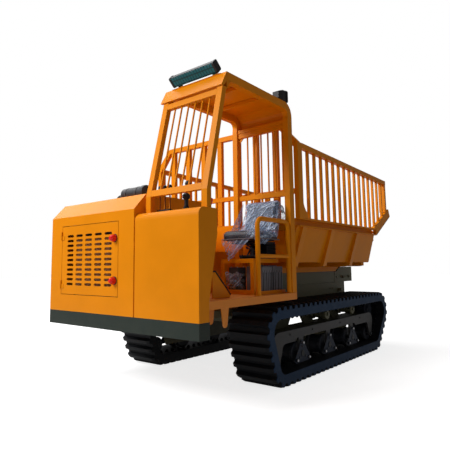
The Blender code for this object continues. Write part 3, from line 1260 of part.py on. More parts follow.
def tailgate():
    """Gate that closes the end of the trough, hung by two arms from pins on the tail channels."""
    front = BED_REAR + 0.006
    back = front + 0.008
    low = BED_FLOOR + 0.004
    high = BED_RAIL_LOW - 0.02
    inset = 0.012
    sheet = [(BED_FLOOR_HALF - inset, low), (panel_x(high) - inset, high), (-panel_x(high) + inset, high),
             (-BED_FLOOR_HALF + inset, low)]
    shells = [prism(sheet, "Y", front, back)]
    for z in (low + 0.02, high - 0.06):
        half = panel_x(z) - 0.015
        shells.append(box((-half, half), (back - 0.002, back + 0.035), (z, z + 0.04)))
    for x in (-0.5, 0.0, 0.5):
        shells.append(box((x - 0.02, x + 0.02), (back - 0.001, back + 0.03), (low + 0.03, high - 0.03)))
    plate = leaned(welded(*shells), front)
    arms = []
    for side in (-1, 1):
        span = sorted((side * (panel_x(high) - 0.045), side * (panel_x(high) - 0.025)))
        arm = [(back + 0.020, high - 0.050), (back + 0.048, high - 0.050)]
        arm += arc((GATE_PIVOT_Y, GATE_PIVOT_Z), 0.022, 0, 180, 6)
        arms.append(prism(arm, "X", *span))
        arms.append(rod((side * (panel_x(high) - 0.05), GATE_PIVOT_Y, GATE_PIVOT_Z),
                        (side * (BED_HALF - 0.045 - SEAT), GATE_PIVOT_Y, GATE_PIVOT_Z), 0.014, 12))
    part("tailgate", welded(plate, *arms), "orange", GATE)


# Hoist

def hoist_direction():
    return Vector((0, HOIST_EYE_Y - HOIST_FOOT_Y, HOIST_EYE_Z - HOIST_FOOT_Z)).normalized()


def hoist():
    """Tipping cylinder: barrel on the chassis, rod with its eye between the bed's cheeks."""
    along = hoist_direction()
    foot = Vector((0, HOIST_FOOT_Y, HOIST_FOOT_Z))
    eye = Vector((0, HOIST_EYE_Y, HOIST_EYE_Z))
    barrel_end = foot + along * 1.02
    barrel = cut(rod(foot + along * 0.05, barrel_end, HOIST_RADIUS, 24),
                 rod(foot + along * 0.12, barrel_end + along * 0.02, ROD_RADIUS + 0.0004, 20))
    trunnion = rod((-0.0615, foot.y, foot.z), (0.0615, foot.y, foot.z), 0.035, 16)
    root = rod(foot, foot + along * 0.07, 0.03, 16)
    part("hoist_barrel", welded(barrel, trunnion, root), "black", HOIST, True)
    shaft = rod(foot + along * 0.70, eye, ROD_RADIUS, 20)
    ring = rod((-0.038, eye.y, eye.z), (0.038, eye.y, eye.z), 0.042, 20)
    part("hoist_rod", welded(shaft, ring), "steel", ROD, True)


def build():
    front_bumper()
    chassis_frame()
    main_frame()
    for side in (-1, 1):
        name = "left" if side < 0 else "right"
        part("track_" + name, track(side), "rubber", MACHINE)
        track_frame(side)
        roller_set(side)
        sprocket(side)
        idler(side)
    engine_hood()
    hood_door()
    door_knobs()
    engine()
    rear_housing()
    air_cleaner()
    console()
    cab_floor()
    cab_frame()
    cab_roof()
    window_guard()
    rear_guard()
    handrail()
    seat_stand()
    valve_block()
    batteries()
    seat()
    foot_pedal()
    levers()
    lights()
    bed_tub()
    bed_underframe()
    headboard()
    for side in (-1, 1):
        side_fence(side)
    tailgate()
    hoist()


build()
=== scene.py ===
"""Looks of the tracked dumper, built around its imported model, in metres.

The sections follow the machine as it is put together: undercarriage, chassis, engine hood,
cab, seat, controls, lamps, load bed and hoist.
"""

import bmesh
import bpy
from math import asin, atan2, cos, dist, hypot, pi, radians, sin, tau
from mathutils import Matrix, Vector, noise


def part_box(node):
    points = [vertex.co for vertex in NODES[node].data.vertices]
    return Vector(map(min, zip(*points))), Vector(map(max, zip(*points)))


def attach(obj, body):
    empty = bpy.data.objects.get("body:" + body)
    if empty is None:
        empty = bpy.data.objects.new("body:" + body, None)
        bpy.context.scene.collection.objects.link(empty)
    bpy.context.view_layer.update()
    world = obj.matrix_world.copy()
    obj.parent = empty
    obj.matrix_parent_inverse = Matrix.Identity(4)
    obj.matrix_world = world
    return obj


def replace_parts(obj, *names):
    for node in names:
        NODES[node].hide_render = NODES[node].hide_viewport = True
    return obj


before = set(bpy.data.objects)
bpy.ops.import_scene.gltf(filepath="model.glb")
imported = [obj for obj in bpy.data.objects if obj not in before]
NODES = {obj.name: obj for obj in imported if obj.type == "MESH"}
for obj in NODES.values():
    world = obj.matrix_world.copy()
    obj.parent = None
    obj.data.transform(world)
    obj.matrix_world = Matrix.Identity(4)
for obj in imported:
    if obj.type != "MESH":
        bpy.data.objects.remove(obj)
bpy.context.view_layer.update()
scene = bpy.context.scene
scene.view_settings.view_transform = "Standard"


# Studio: a white floor, a large soft lamp in front on the left, one overhead, a pale card on the left that the
# sloping sheets mirror, and a grey sky that fills the shade. The camera stands low at the front right corner.

def give(tree, node, sockets):
    """Inputs of a node, each linked from a socket or set to a value. A colour is three numbers."""
    for name, value in sockets.items():
        socket = node.inputs[name]
        if isinstance(value, bpy.types.NodeSocket):
            tree.links.new(value, socket)
        else:
            socket.default_value = (*value, 1) if socket.type == "RGBA" else value


def bring(tree, kind, sockets=None, **settings):
    """New shader node with its settings and its inputs linked or set."""
    made = tree.nodes.new(kind)
    for name, value in settings.items():
        setattr(made, name, value)
    give(tree, made, sockets or {})
    return made


def maths(tree, operation, *values, clamp=False):
    """Result of one operation on one to three values."""
    return bring(tree, "ShaderNodeMath", dict(enumerate(values)), operation=operation, use_clamp=clamp).outputs[0]


def product(tree, first, *others):
    """Product of two or more values."""
    for other in others:
        first = maths(tree, "MULTIPLY", first, other)
    return first


def vectors(tree, operation, *values, scale=None):
    """Result of one operation on vectors, a number for a length or a product."""
    sockets = dict(enumerate(values))
    if scale is not None:
        sockets["Scale"] = scale
    made = bring(tree, "ShaderNodeVectorMath", sockets, operation=operation)
    return made.outputs["Value" if operation in ("LENGTH", "DOT_PRODUCT") else "Vector"]


def span(tree, value, low, high, to_low=0.0, to_high=1.0, kind="LINEAR"):
    """Value carried from one range to another and held inside it."""
    sockets = {"Value": value, "From Min": low, "From Max": high, "To Min": to_low, "To Max": to_high}
    return bring(tree, "ShaderNodeMapRange", sockets, interpolation_type=kind).outputs[0]


def on_piece(tree):
    """Place in the object's own coordinates."""
    return bring(tree, "ShaderNodeTexCoord").outputs["Object"]


def finish_named(name):
    """New material with its tree and its one Principled shader."""
    made = bpy.data.materials.new(name)
    made.use_nodes = True
    return made, made.node_tree, made.node_tree.nodes["Principled BSDF"]


def put(material, *pieces):
    """The material on every slot of some pieces, given themselves or by node name, its link to the mesh kept."""
    for piece in pieces:
        piece = NODES[piece] if isinstance(piece, str) else piece
        if not piece.material_slots:
            piece.data.materials.append(material)
        for slot in piece.material_slots:
            slot.material = material


def linked(name, data):
    """New object in the scene."""
    made = bpy.data.objects.new(name, data)
    bpy.context.collection.objects.link(made)
    return made


def linked_mesh(name, bm):
    """New object made of a bmesh, which is used up."""
    made = linked(name, bpy.data.meshes.new(name))
    bm.to_mesh(made.data)
    bm.free()
    return made


right = Vector((0.7692, 0.6389, -0.0101))
up = Vector((0.0817, -0.0827, 0.9932))
forward = Vector((-0.6337, 0.7648, 0.1159))
camera = linked("camera", bpy.data.cameras.new("camera"))
camera.matrix_world = Matrix((right, up, -forward)).transposed().to_4x4()
camera.location = (3.2149, -4.5644, 1.1119)
camera.data.sensor_width = 36
camera.data.lens = 36.10
camera.data.shift_x = 0.0265
camera.data.shift_y = -0.0274
scene.camera = camera

floor_mesh = bmesh.new()
bmesh.ops.create_grid(floor_mesh, x_segments=1, y_segments=1, size=40)
floor = linked_mesh("floor", floor_mesh)
floor.location.z = -0.002
floor_finish, tree, shader = finish_named("white_floor")
seen = bring(tree, "ShaderNodeLightPath").outputs
mirrored = product(tree, seen["Is Glossy Ray"], 0.25)
far = span(tree, vectors(tree, "LENGTH", on_piece(tree)), 3.0, 9.0, 0.78, 0.98, kind="SMOOTHSTEP")
glow = maths(tree, "MULTIPLY_ADD", seen["Is Camera Ray"], far, mirrored)
give(tree, shader, {"Base Color": (0.6, 0.6, 0.6), "Roughness": 1.0, "Specular IOR Level": 0.0,
                    "Emission Color": (1, 1, 1), "Emission Strength": glow})
put(floor_finish, floor)

sky = bpy.data.worlds.new("studio")
scene.world = sky
sky.use_nodes = True
tree = sky.node_tree
seen = bring(tree, "ShaderNodeLightPath").outputs
level = span(tree, maths(tree, "MAXIMUM", seen["Is Camera Ray"], seen["Is Transmission Ray"]), 0.0, 1.0, 0.2, 1.0)
give(tree, tree.nodes["Background"], {"Color": (1, 1, 1), "Strength": level})

for name, place, size, power in (("key_lamp", (-2.9, -8.0, 6.3), 3.0, 620), ("top_lamp", (-1.5, -1.0, 7.5), 4.0, 250),
                                 ("left_card", (-7.0, -0.8, 6.2), 4.0, 130)):
    lamp = bpy.data.lights.new(name, "AREA")
    lamp.size = size
    lamp.energy = power
    stand = linked(name, lamp)
    stand.location = place
    stand.rotation_euler = (Vector((0, 0, 1.2)) - Vector(place)).to_track_quat("-Z", "Y").to_euler()


# Track frames: welded box beams of plate inside each track, with arms to the end wheels, sprayed olive.
# The enamel is painted lighter in patches along its edges as a painted highlight, has a fine orange peel and gathers
# pale dust.

def axes(tree, vector):
    """The three numbers of a vector, by "X", "Y" and "Z"."""
    return bring(tree, "ShaderNodeSeparateXYZ", {0: vector}).outputs


def clouds(tree, place, scale, detail=2.0, roughness=0.5, distortion=0.0):
    """Cloudy noise between 0 and 1."""
    sockets = {"Vector": place, "Scale": scale, "Detail": detail, "Roughness": roughness, "Distortion": distortion}
    return bring(tree, "ShaderNodeTexNoise", sockets).outputs["Fac"]


def mixed(tree, mask, first, second):
    """Two colours mixed by a mask."""
    return bring(tree, "ShaderNodeMix", {0: mask, 6: first, 7: second}, data_type="RGBA").outputs[2]


def soft_edge(tree, radius):
    """Normal that turns over the edges as if they had this radius."""
    return bring(tree, "ShaderNodeBevel", {"Radius": radius}, samples=4).outputs[0]


def bumped(tree, height, strength, distance, normal=None, inward=False):
    """Normal raised by a height, on another normal if one is given."""
    sockets = {"Height": height, "Strength": strength, "Distance": distance}
    if normal:
        sockets["Normal"] = normal
    return bring(tree, "ShaderNodeBump", sockets, invert=inward).outputs[0]


def painted_steel_group():
    """Node group for enamel on steel: uneven tone, a painted highlight in patches along the edges, and dust on what
    lies flat or low.
    """
    made = bpy.data.node_groups.new("painted steel", "ShaderNodeTree")
    for in_out, kind, titles in (("INPUT", "Color", ("Paint", "Edge", "Dust")),
                                 ("INPUT", "Float", ("Dust Amount", "Roughness", "Peel", "Edge Radius")),
                                 ("OUTPUT", "Color", ("Color",)), ("OUTPUT", "Float", ("Roughness",)),
                                 ("OUTPUT", "Vector", ("Normal",))):
        for title in titles:
            made.interface.new_socket(title, in_out=in_out, socket_type="NodeSocket" + kind)
    given, out = made.nodes.new("NodeGroupInput").outputs, made.nodes.new("NodeGroupOutput")
    place = on_piece(made)
    faces = bring(made, "ShaderNodeNewGeometry").outputs["True Normal"]
    broad = clouds(made, place, 1.7, 4.0, 0.6)
    toned = vectors(made, "SCALE", given["Paint"], scale=span(made, broad, 0.3, 0.7, 0.9, 1.04))
    rounded = soft_edge(made, given["Edge Radius"])
    # Edges turn lighter in patches: a painted highlight where the rounded normal leaves the true one.
    edge = span(made, vectors(made, "DOT_PRODUCT", rounded, faces), 0.985, 0.86, 0.0, 0.7)
    edge_highlighted = mixed(made, product(made, edge, clouds(made, place, 34.0, 5.0)), toned, given["Edge"])
    lying = span(made, axes(made, faces)["Z"], 0.5, 1.0, 0.0, 0.55)
    splash = span(made, axes(made, place)["Z"], 0.85, 0.15, 0.0, 0.8)
    spotted = span(made, clouds(made, place, 7.0, 8.0, 0.7), 0.38, 0.72)
    amount = product(made, maths(made, "MAXIMUM", lying, splash), spotted, given["Dust Amount"])
    dull = maths(made, "MULTIPLY_ADD", amount, 0.5, given["Roughness"])
    relief = maths(made, "MULTIPLY_ADD", clouds(made, place, 5.0, 1.0), 9.0, clouds(made, place, 170.0, 2.0))
    give(made, out, {"Color": mixed(made, amount, edge_highlighted, given["Dust"]),
                     "Roughness": maths(made, "MULTIPLY_ADD", broad, 0.16, dull),
                     "Normal": bumped(made, relief, given["Peel"], 0.0006, rounded)})
    return made


PAINTED_STEEL = painted_steel_group()


def coat(tree, shader, colour, edge, dust=(0.30, 0.25, 0.18), amount=0.1, roughness=0.34, peel=0.12, radius=0.004,
         specular=0.3, metallic=0.0):
    """Enamel on a shader, its painted edge highlight colour, dust and gloss given. Returns its normal."""
    sockets = {"Paint": colour, "Edge": edge, "Dust": dust, "Dust Amount": amount, "Roughness": roughness,
               "Peel": peel, "Edge Radius": radius}
    steel = bring(tree, "ShaderNodeGroup", sockets, node_tree=PAINTED_STEEL).outputs
    give(tree, shader, {"Base Color": steel["Color"], "Roughness": steel["Roughness"], "Normal": steel["Normal"],
                        "Specular IOR Level": specular, "Metallic": metallic})
    return steel["Normal"]


def paint(name, slot, colour, edge, **finish):
    """Material with a coat of one colour."""
    made, tree, shader = finish_named(name)
    coat(tree, shader, colour, edge, **finish)
    return made


def mesh_piece(name, bm, material, body="chassis", smooth=None):
    """Finished piece from a bmesh, with its outside turned outwards, riding on a body."""
    bmesh.ops.recalc_face_normals(bm, faces=bm.faces)
    made = linked_mesh(name, bm)
    if smooth:
        made.data.shade_smooth()
        made.data.set_sharp_from_angle(angle=radians(smooth))
    put(material, made)
    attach(made, body)
    return made


def block(bm, x, y, z, edge=0.0):
    """Block between two values on each axis, its edges rounded over."""
    middle = Vector(((x[0] + x[1]) / 2, (y[0] + y[1]) / 2, (z[0] + z[1]) / 2))
    size = Matrix.Diagonal((x[1] - x[0], y[1] - y[0], z[1] - z[0], 1))
    verts = bmesh.ops.create_cube(bm, size=1, matrix=Matrix.Translation(middle) @ size)["verts"]
    if edge:
        edges = list({link for vert in verts for link in vert.link_edges})
        bmesh.ops.bevel(bm, geom=edges, offset=edge, segments=2, profile=0.5, affect="EDGES", material=-1)


def ends(*sides):
    """Start and end of a straight run, whose x, y and z are each one value or a pair of them."""
    pairs = [side if isinstance(side, tuple) else (side, side) for side in sides]
    return [Vector(point) for point in zip(*pairs)]


def bar(bm, x, y, z, radius, sides=12, tip=None):
    """Round bar or cone along a straight run."""
    start, end = ends(x, y, z)
    turn = (end - start).to_track_quat("Z", "Y").to_matrix().to_4x4()
    bmesh.ops.create_cone(bm, cap_ends=True, segments=sides, radius1=radius, radius2=radius if tip is None else tip,
                          depth=(end - start).length, matrix=Matrix.Translation((start + end) / 2) @ turn)


def closed(bm):
    """Open rims of a bmesh filled."""
    bmesh.ops.holes_fill(bm, edges=[edge for edge in bm.edges if edge.is_boundary])


def bolts(bm, places, size=0.010, height=0.007, facing=(0, 0, 1)):
    """Hexagon bolt heads on washers, standing on a surface that faces up or another way."""
    facing = Vector(facing)
    for place in places:
        place = Vector(place)
        bar(bm, *zip(place, place + facing * height * 0.25), size * 1.2, 10)
        bar(bm, *zip(place, place + facing * height), size, 6, size * 0.92)


def weld(bm, x, y, z, radius=0.0035, stretch=0.010):
    """Rippled bead of weld along a straight run, one short cone for every ripple."""
    start, end = ends(x, y, z)
    steps = max(2, round((end - start).length / stretch))
    step = (end - start) / steps
    for i in range(steps):
        bar(bm, *zip(start + step * (i - 0.15), start + step * (i + 1)), radius, 6, radius * 0.78)


olive = paint("olive_enamel", "olive_paint", (0.125, 0.119, 0.068), (0.16, 0.15, 0.11), amount=0.25, roughness=0.45)
steel = paint("plated_steel", "bright_steel", (0.48, 0.48, 0.5), (0.65, 0.65, 0.66), amount=0.1, roughness=0.25,
              metallic=0.85)
for side, hand in ((1, "right"), (-1, "left")):
    put(olive, "track_frame_" + hand)
    seams = bmesh.new()
    for x in (0.60, 0.86):
        weld(seams, side * x, (-0.76, 1.41), 0.45, 0.004, 0.02)
    for y in (-0.561, 0.659):
        weld(seams, side * 0.6, (y - 0.08, y + 0.08), 0.45)
        weld(seams, side * 0.66, (y - 0.08, y + 0.08), 0.45)
    mesh_piece("track_frame_seams_" + hand, seams, olive)


# Wheels and rollers: turned castings, black with a blue cast, that run on sealed axles. The side rail over them
# is dark grey plate, and three rollers sit behind covers held by three plated bolts round a dark bore.

black = paint("black_enamel", "black_paint", (0.01, 0.011, 0.013), (0.06, 0.06, 0.065), amount=0.12, roughness=0.42)
blue_black = paint("blue_black_enamel", "black_paint", (0.011, 0.016, 0.028), (0.07, 0.09, 0.13), amount=0.12,
                   roughness=0.42)
cover_paint = paint("cover_enamel", "black_paint", (0.008, 0.015, 0.034), (0.05, 0.07, 0.12), amount=0.04,
                    roughness=0.42, specular=0.18)
ROLLER_SET, tree, shader = finish_named("rollers_and_rail")
across = maths(tree, "ABSOLUTE", axes(tree, on_piece(tree))["X"])
rail = product(tree, maths(tree, "GREATER_THAN", across, 0.9035), maths(tree, "LESS_THAN", across, 0.9312))
two_paints = mixed(tree, rail, (0.011, 0.016, 0.028), (0.026, 0.025, 0.027))
coat(tree, shader, two_paints, (0.1, 0.11, 0.13), (0.2, 0.17, 0.13), 0.25, 0.42, 0.2, specular=0.35)
ROLLER_PLACES = (-0.441, 0.169, 0.799)
ROLLER_HEIGHT = 0.235
for side, hand in ((1, "right"), (-1, "left")):
    put(ROLLER_SET, "roller_set_" + hand)
    put(blue_black, "sprocket_" + hand, "idler_" + hand)
    heads, bores, covers = bmesh.new(), bmesh.new(), bmesh.new()
    for y in ROLLER_PLACES:
        thirds = [radians(angle) for angle in (90, 210, 330)]
        rim = [(y + 0.142 * cos(third) + 0.030 * cos(third + step),
                ROLLER_HEIGHT + 0.104 * sin(third) + 0.030 * sin(third + step))
               for third in thirds for step in (-1.05, -0.5, 0.0, 0.5, 1.05)]
        cover = covers.faces.new([covers.verts.new((side * 0.9365, *point)) for point in rim])
        for depth, rise in ((0.0001, 0.006), (0.010, 0.003), (0.030, -0.006)):
            bmesh.ops.inset_region(covers, faces=[cover], thickness=depth)
            bmesh.ops.translate(covers, verts=list(cover.verts), vec=(side * rise, 0, 0))
        for third in thirds:
            spot = (y + 0.140 * cos(third), ROLLER_HEIGHT + 0.104 * sin(third))
            bar(bores, (side * 0.943, side * 0.9475), *spot, 0.016, 14)
            bar(heads, (side * 0.946, side * 0.959), *spot, 0.0135, 6, 0.0125)
        bar(bores, (side * 0.938, side * 0.9445), y, ROLLER_HEIGHT, 0.03, 16)
    closed(covers)
    bolts(bores, [(side * 0.93, y, 0.44) for y in (-0.66, -0.2, 0.48, 1.06)], 0.009, facing=(side, 0, 0))
    for i in range(8):
        angle = tau * i / 8
        bolts(bores, [(side * 0.855, -0.941 + 0.045 * cos(angle), 0.49 + 0.045 * sin(angle))], 0.006,
              facing=(side, 0, 0))
    mesh_piece("roller_covers_" + hand, covers, cover_paint)
    mesh_piece("cover_bolts_" + hand, heads, steel)
    mesh_piece("axle_ends_" + hand, bores, black)


# Tracks: endless belts of black rubber moulded over steel cords, with a cross lug at every pitch. The edge of
# the belt carries a bluish band, a painted sheen of the sky, and guide teeth inside keep the rollers in line: two
# rows, but only the inner one along the ground.

rubber, tree, shader = finish_named("belt_rubber")
place = on_piece(tree)
spread = clouds(tree, place, 9.0, 7.0, 0.68)
scuff = span(tree, spread, 0.48, 0.75, 0.0, 0.55)
scuffed = mixed(tree, scuff, (0.004, 0.0046, 0.0062), (0.016, 0.016, 0.018))
# Bluish band along the outer edge of the belt: painted sheen.
band = span(tree, maths(tree, "ABSOLUTE", axes(tree, place)["X"]), 1.003, 1.0085)
sheen_banded = mixed(tree, band, scuffed, (0.008, 0.028, 0.068))
bump = bumped(tree, clouds(tree, place, 240.0, 3.0), 0.5, 0.0012, soft_edge(tree, 0.007))
worn = span(tree, spread, 0.0, 1.0, 0.45, 0.72)
give(tree, shader, {"Base Color": sheen_banded, "Roughness": worn, "Normal": bump, "Specular IOR Level": 0.17})

BELT_WHEELS = ((-0.883, 0.21, 0.09), (1.394, 0.21, 0.09), (1.594, 0.49, 0.125), (-0.941, 0.49, 0.125))
TOOTH_COUNT = 66
TRACK_MIDDLE = 0.785
TOOTH_OFFSET = 0.1275


def inside_of_belt():
    """Stretches of the belt's inner face, in order: straight ones by two points, arcs by centre and angles."""
    count = len(BELT_WHEELS)
    leaving = []
    for i in range(count):
        y0, z0, r0 = BELT_WHEELS[i]
        y1, z1, r1 = BELT_WHEELS[(i + 1) % count]
        heading = atan2(z1 - z0, y1 - y0)
        leaving.append(heading - pi / 2 - asin((r1 - r0) / hypot(y1 - y0, z1 - z0)))
    stretches = []
    for i in range(count):
        (y0, z0, r0), (y1, z1, r1) = BELT_WHEELS[i], BELT_WHEELS[(i + 1) % count]
        turn = (leaving[i] - leaving[i - 1]) % tau
        stretches.append((r0 * turn, (y0, z0), r0, leaving[i - 1], leaving[i]))
        run = dist((y0 + r0 * cos(leaving[i]), z0 + r0 * sin(leaving[i])),
                   (y1 + r1 * cos(leaving[i]), z1 + r1 * sin(leaving[i])))
        stretches.append((run, (y0, z0), r0, leaving[i], None))
    return stretches


tooth = Matrix.Rotation(pi, 4, "X") @ Matrix.Diagonal((0.66, 1.0, 1.0, 1.0)) \
    @ Matrix.Translation((0, 0, 0.013)) @ Matrix.Rotation(pi / 4, 4, "Z")
stretches = inside_of_belt()
whole = sum(stretch[0] for stretch in stretches)
for side, hand in ((1, "right"), (-1, "left")):
    put(rubber, "track_" + hand)
    teeth = bmesh.new()
    for i in range(TOOTH_COUNT):
        distance = whole * (i + 0.5) / TOOTH_COUNT
        for length, (y, z), radius, start, end in stretches:
            if distance <= length:
                break
            distance -= length
        angle = start if end is None else start + distance / radius
        y, z = y + radius * cos(angle), z + radius * sin(angle)
        if end is None:
            y, z = y - distance * sin(angle), z + distance * cos(angle)
        for offset in (-TOOTH_OFFSET, TOOTH_OFFSET) if z > 0.17 else (-side * TOOTH_OFFSET,):
            spot = Matrix.Translation((side * TRACK_MIDDLE + offset, y, z)) @ Matrix.Rotation(angle - pi / 2, 4, "X")
            bmesh.ops.create_cone(teeth, cap_ends=True, segments=4, radius1=0.026, radius2=0.015, depth=0.032,
                                  matrix=spot @ tooth)
    mesh_piece("guide_teeth_" + hand, teeth, rubber)


# Chassis: long box beams of olive plate, the upper pair standing on the lower, with cross tubes to the two
# undercarriages. Seams are welded all along, and the cheeks at the tail hold the pins of the bed.

put(olive, "chassis_frame", "main_frame")
seams, fixings = bmesh.new(), bmesh.new()
for side in (-1, 1):
    weld(seams, side * 0.5005, (-0.61, 1.3), 0.866, 0.0035, 0.02)
    weld(seams, side * 0.5005, 1.31, (1.012, 0.868), 0.004)
    for y in (-0.561, 0.659):
        weld(seams, side * 0.5, (y - 0.058, y + 0.058), 0.62, 0.004)
    bolts(fixings, [(side * 0.5, y, z) for y in (1.16, 1.24) for z in (0.70, 0.79)], 0.011, 0.009,
          facing=(side, 0, 0))
    bolts(fixings, [(side * 0.512, 1.769, 0.935)], 0.014, 0.010, facing=(side, 0, 0))
    bar(fixings, (side * 0.526, side * 0.531), 1.549, 0.935, 0.0195, 16, 0.016)
    bolts(fixings, [(side * 0.5, y, 0.66) for y in (-1.9, -1.84)], 0.010, facing=(side, 0, 0))
mesh_piece("chassis_seams", seams, olive)
mesh_piece("chassis_bolts", fixings, olive)


# Front bumper: channel of 10 mm plate across the front, slate enamel over a sanded primer, welded to the
# ends of the chassis beams and closed at both ends.

slate = paint("slate_enamel", "slate_paint", (0.024, 0.033, 0.027), (0.07, 0.08, 0.075), amount=0.1, roughness=0.42,
              peel=0.2, specular=0.15)
put(slate, "front_bumper")
seams = bmesh.new()
for side in (-1, 1):
    for z in (0.572, 0.682):
        weld(seams, side * 0.998, (-2.045, -1.945), z, 0.003)
mesh_piece("bumper_seams", seams, slate)


# Engine hood: one folded shell of 5 mm sheet with a sloped brow, orange two-pack enamel, its corners welded
# and ground. The round-ended slots of the front door let air through to the radiator.

orange = paint("orange_enamel", "orange_paint", (0.8, 0.25, 0.001), (0.9, 0.36, 0.03), amount=0.06, roughness=0.28,
               specular=0.1)
put(orange, "engine_hood", "hood_door", "rear_housing")
HOOD_TOP = 1.743
seams, fixings = bmesh.new(), bmesh.new()
weld(seams, 0.2695, -2.045, (1.5, 0.7), 0.003)
for x in (-0.94, 0.21):
    bolts(fixings, [(x, y, HOOD_TOP) for y in (-1.86, -1.50, -1.15)], 0.009)
for y in (-1.90, -1.55, -1.20):
    bolts(fixings, [(-0.9935, y, 0.72)], 0.009, 0.0055, facing=(-1, 0, 0))
block(fixings, (-0.60, -0.30), (-1.18, -1.165), (HOOD_TOP, 1.748), 0.002)
for x in (-0.55, -0.35):
    bar(fixings, (x - 0.04, x + 0.04), -1.161, 1.749, 0.0065, 12)
bmesh.ops.translate(fixings, verts=fixings.verts, vec=(0, 0, -0.001))
mesh_piece("hood_seams", seams, orange)
mesh_piece("hood_fixings", fixings, orange)

# Radiator: brazed core of copper-brown fins between two tanks, in a bolted channel frame just behind the door.
# Its fan of seven blades stands in front of the engine, whose cast cover carries four filler necks.

core, tree, shader = finish_named("radiator_core")
place = axes(tree, on_piece(tree))
tube_mask = span(tree, maths(tree, "PINGPONG", place["X"], 0.011), 0.0015, 0.0025)
fin_mask = span(tree, maths(tree, "PINGPONG", place["Z"], 0.0016), 0.0002, 0.0009)
# The openings between tubes and fins are painted darker as painted shade inside the core, and the bump sinks them.
gaps_and_gap_shade = product(tree, tube_mask, fin_mask)
fins_and_gap_shade = mixed(tree, gaps_and_gap_shade, (0.5, 0.21, 0.085), (0.2, 0.085, 0.036))
bump = bumped(tree, gaps_and_gap_shade, 0.8, 0.001, inward=True)
give(tree, shader, {"Base Color": fins_and_gap_shade, "Normal": bump, "Metallic": 0.3, "Roughness": 0.6})
casting = paint("grey_casting", "grey_casting", (0.075, 0.076, 0.082), (0.14, 0.14, 0.15), amount=0.2, roughness=0.5,
                peel=0.7)
put(casting, "engine_block")
CORE_HEIGHT, CHANNEL_DEPTH = (0.83, 1.41), (-1.995, -1.925)
radiator, surround = bmesh.new(), bmesh.new()
block(radiator, (-0.68, -0.06), (-1.985, -1.935), CORE_HEIGHT)
for z in (1.41, 0.77):
    block(surround, (-0.70, -0.04), CHANNEL_DEPTH, (z, z + 0.06), 0.012)
for x in (-0.70, -0.06):
    block(surround, (x, x + 0.02), CHANNEL_DEPTH, CORE_HEIGHT, 0.003)
bar(surround, -0.2, -1.96, (1.47, 1.495), 0.026, 20)
bar(surround, -0.2, -1.96, (1.495, 1.507), 0.032, 20, 0.028)
bolts(surround, [(x, -1.995, z) for x in (-0.69, -0.05) for z in (0.90, 1.12, 1.34)], 0.007, facing=(0, -1, 0))
bar(surround, -0.37, (-1.93, -1.842), 1.12, 0.045, 20)
blade = Matrix.Translation((0, 0, 0.135)) @ Matrix.Rotation(0.6, 4, "Z") @ Matrix.Diagonal((0.075, 0.004, 0.20, 1))
for i in range(7):
    sweep = Matrix.Translation((-0.37, -1.885, 1.12)) @ Matrix.Rotation(tau * i / 7, 4, "Y")
    bmesh.ops.create_cube(surround, size=1, matrix=sweep @ blade)
mesh_piece("radiator_core", radiator, core)
mesh_piece("radiator_tanks_and_fan", surround, black)
covers = bmesh.new()
block(covers, (-0.66, -0.07), (-1.70, -1.40), (1.42, 1.475), 0.02)
for i in range(4):
    x = -0.60 + 0.155 * i
    bar(covers, x, -1.55, (1.475, 1.5), 0.024, 16, 0.02)
for y in (-1.64, -1.45):
    bolts(covers, [(x, y, 1.475) for x in (-0.56, -0.40, -0.25, -0.10)], 0.009)
mesh_piece("valve_cover", covers, casting)

# Door knobs: glossy red mouldings with grip ribs, each on a black washer with a black centre screw. They clamp
# the free edge of the door.

red = paint("red_moulding", "red_plastic", (0.85, 0.012, 0.004), (0.8, 0.05, 0.03), amount=0.05, roughness=0.24,
            specular=0.4)
for name in ("door_knob_upper", "door_knob_lower"):
    put(red, name)
    low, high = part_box(name)
    x, z = (low[0] + high[0]) / 2, (low[2] + high[2]) / 2
    ribs, washer = bmesh.new(), bmesh.new()
    for i in range(8):
        across, rise = cos(tau * i / 8), sin(tau * i / 8)
        bar(ribs, (x + 0.0305 * across, x + 0.0255 * across), (high[1] - 0.006, low[1] + 0.014),
            (z + 0.0305 * rise, z + 0.0255 * rise), 0.0042, 8, 0.003)
    bar(washer, x, (high[1] - 0.004, high[1] + 0.0002), z, 0.037, 28)
    bar(washer, x, (low[1] + 0.0002, low[1] + 0.012), z, 0.008, 16)
    mesh_piece(name + "_ribs", ribs, red, "hood_door", 40)
    mesh_piece(name + "_washer", washer, black, "hood_door")

# Air cleaner: spun steel drum in satin black on a pale saddle, held by two grey strap bands with clamps. A
# moulded rubber elbow takes its air down into the hood.

AIR_CLEANER, tree, shader = finish_named("drum_and_saddle")
DRUM_Y, DRUM_Z, HOSE_Z = -1.701, 1.813, 1.793
DRUM_REACH = 0.0675
from_axis = vectors(tree, "MULTIPLY", vectors(tree, "ADD", on_piece(tree), (0, -DRUM_Y, -DRUM_Z)), (0, 1, 1))
outside = maths(tree, "GREATER_THAN", vectors(tree, "LENGTH", from_axis), DRUM_REACH)
shown = mixed(tree, outside, (0.03, 0.031, 0.036), (0.3, 0.28, 0.25))
coat(tree, shader, shown, (0.12, 0.12, 0.125), (0.3, 0.27, 0.22), 0.35, 0.34, 0.15, specular=0.5)
put(AIR_CLEANER, "air_cleaner")
bands, elbow = bmesh.new(), bmesh.new()
for x in (-0.222, -0.0775):
    bar(bands, (x - 0.01, x + 0.01), DRUM_Y, DRUM_Z, 0.0622, 28)
    block(bands, (x - 0.008, x + 0.008), (-1.768, -1.759), (1.795, 1.828), 0.002)
bar(bands, (-0.335, -0.322), DRUM_Y, HOSE_Z, 0.0285, 20)
mesh_piece("air_cleaner_bands", bands, casting, smooth=35)
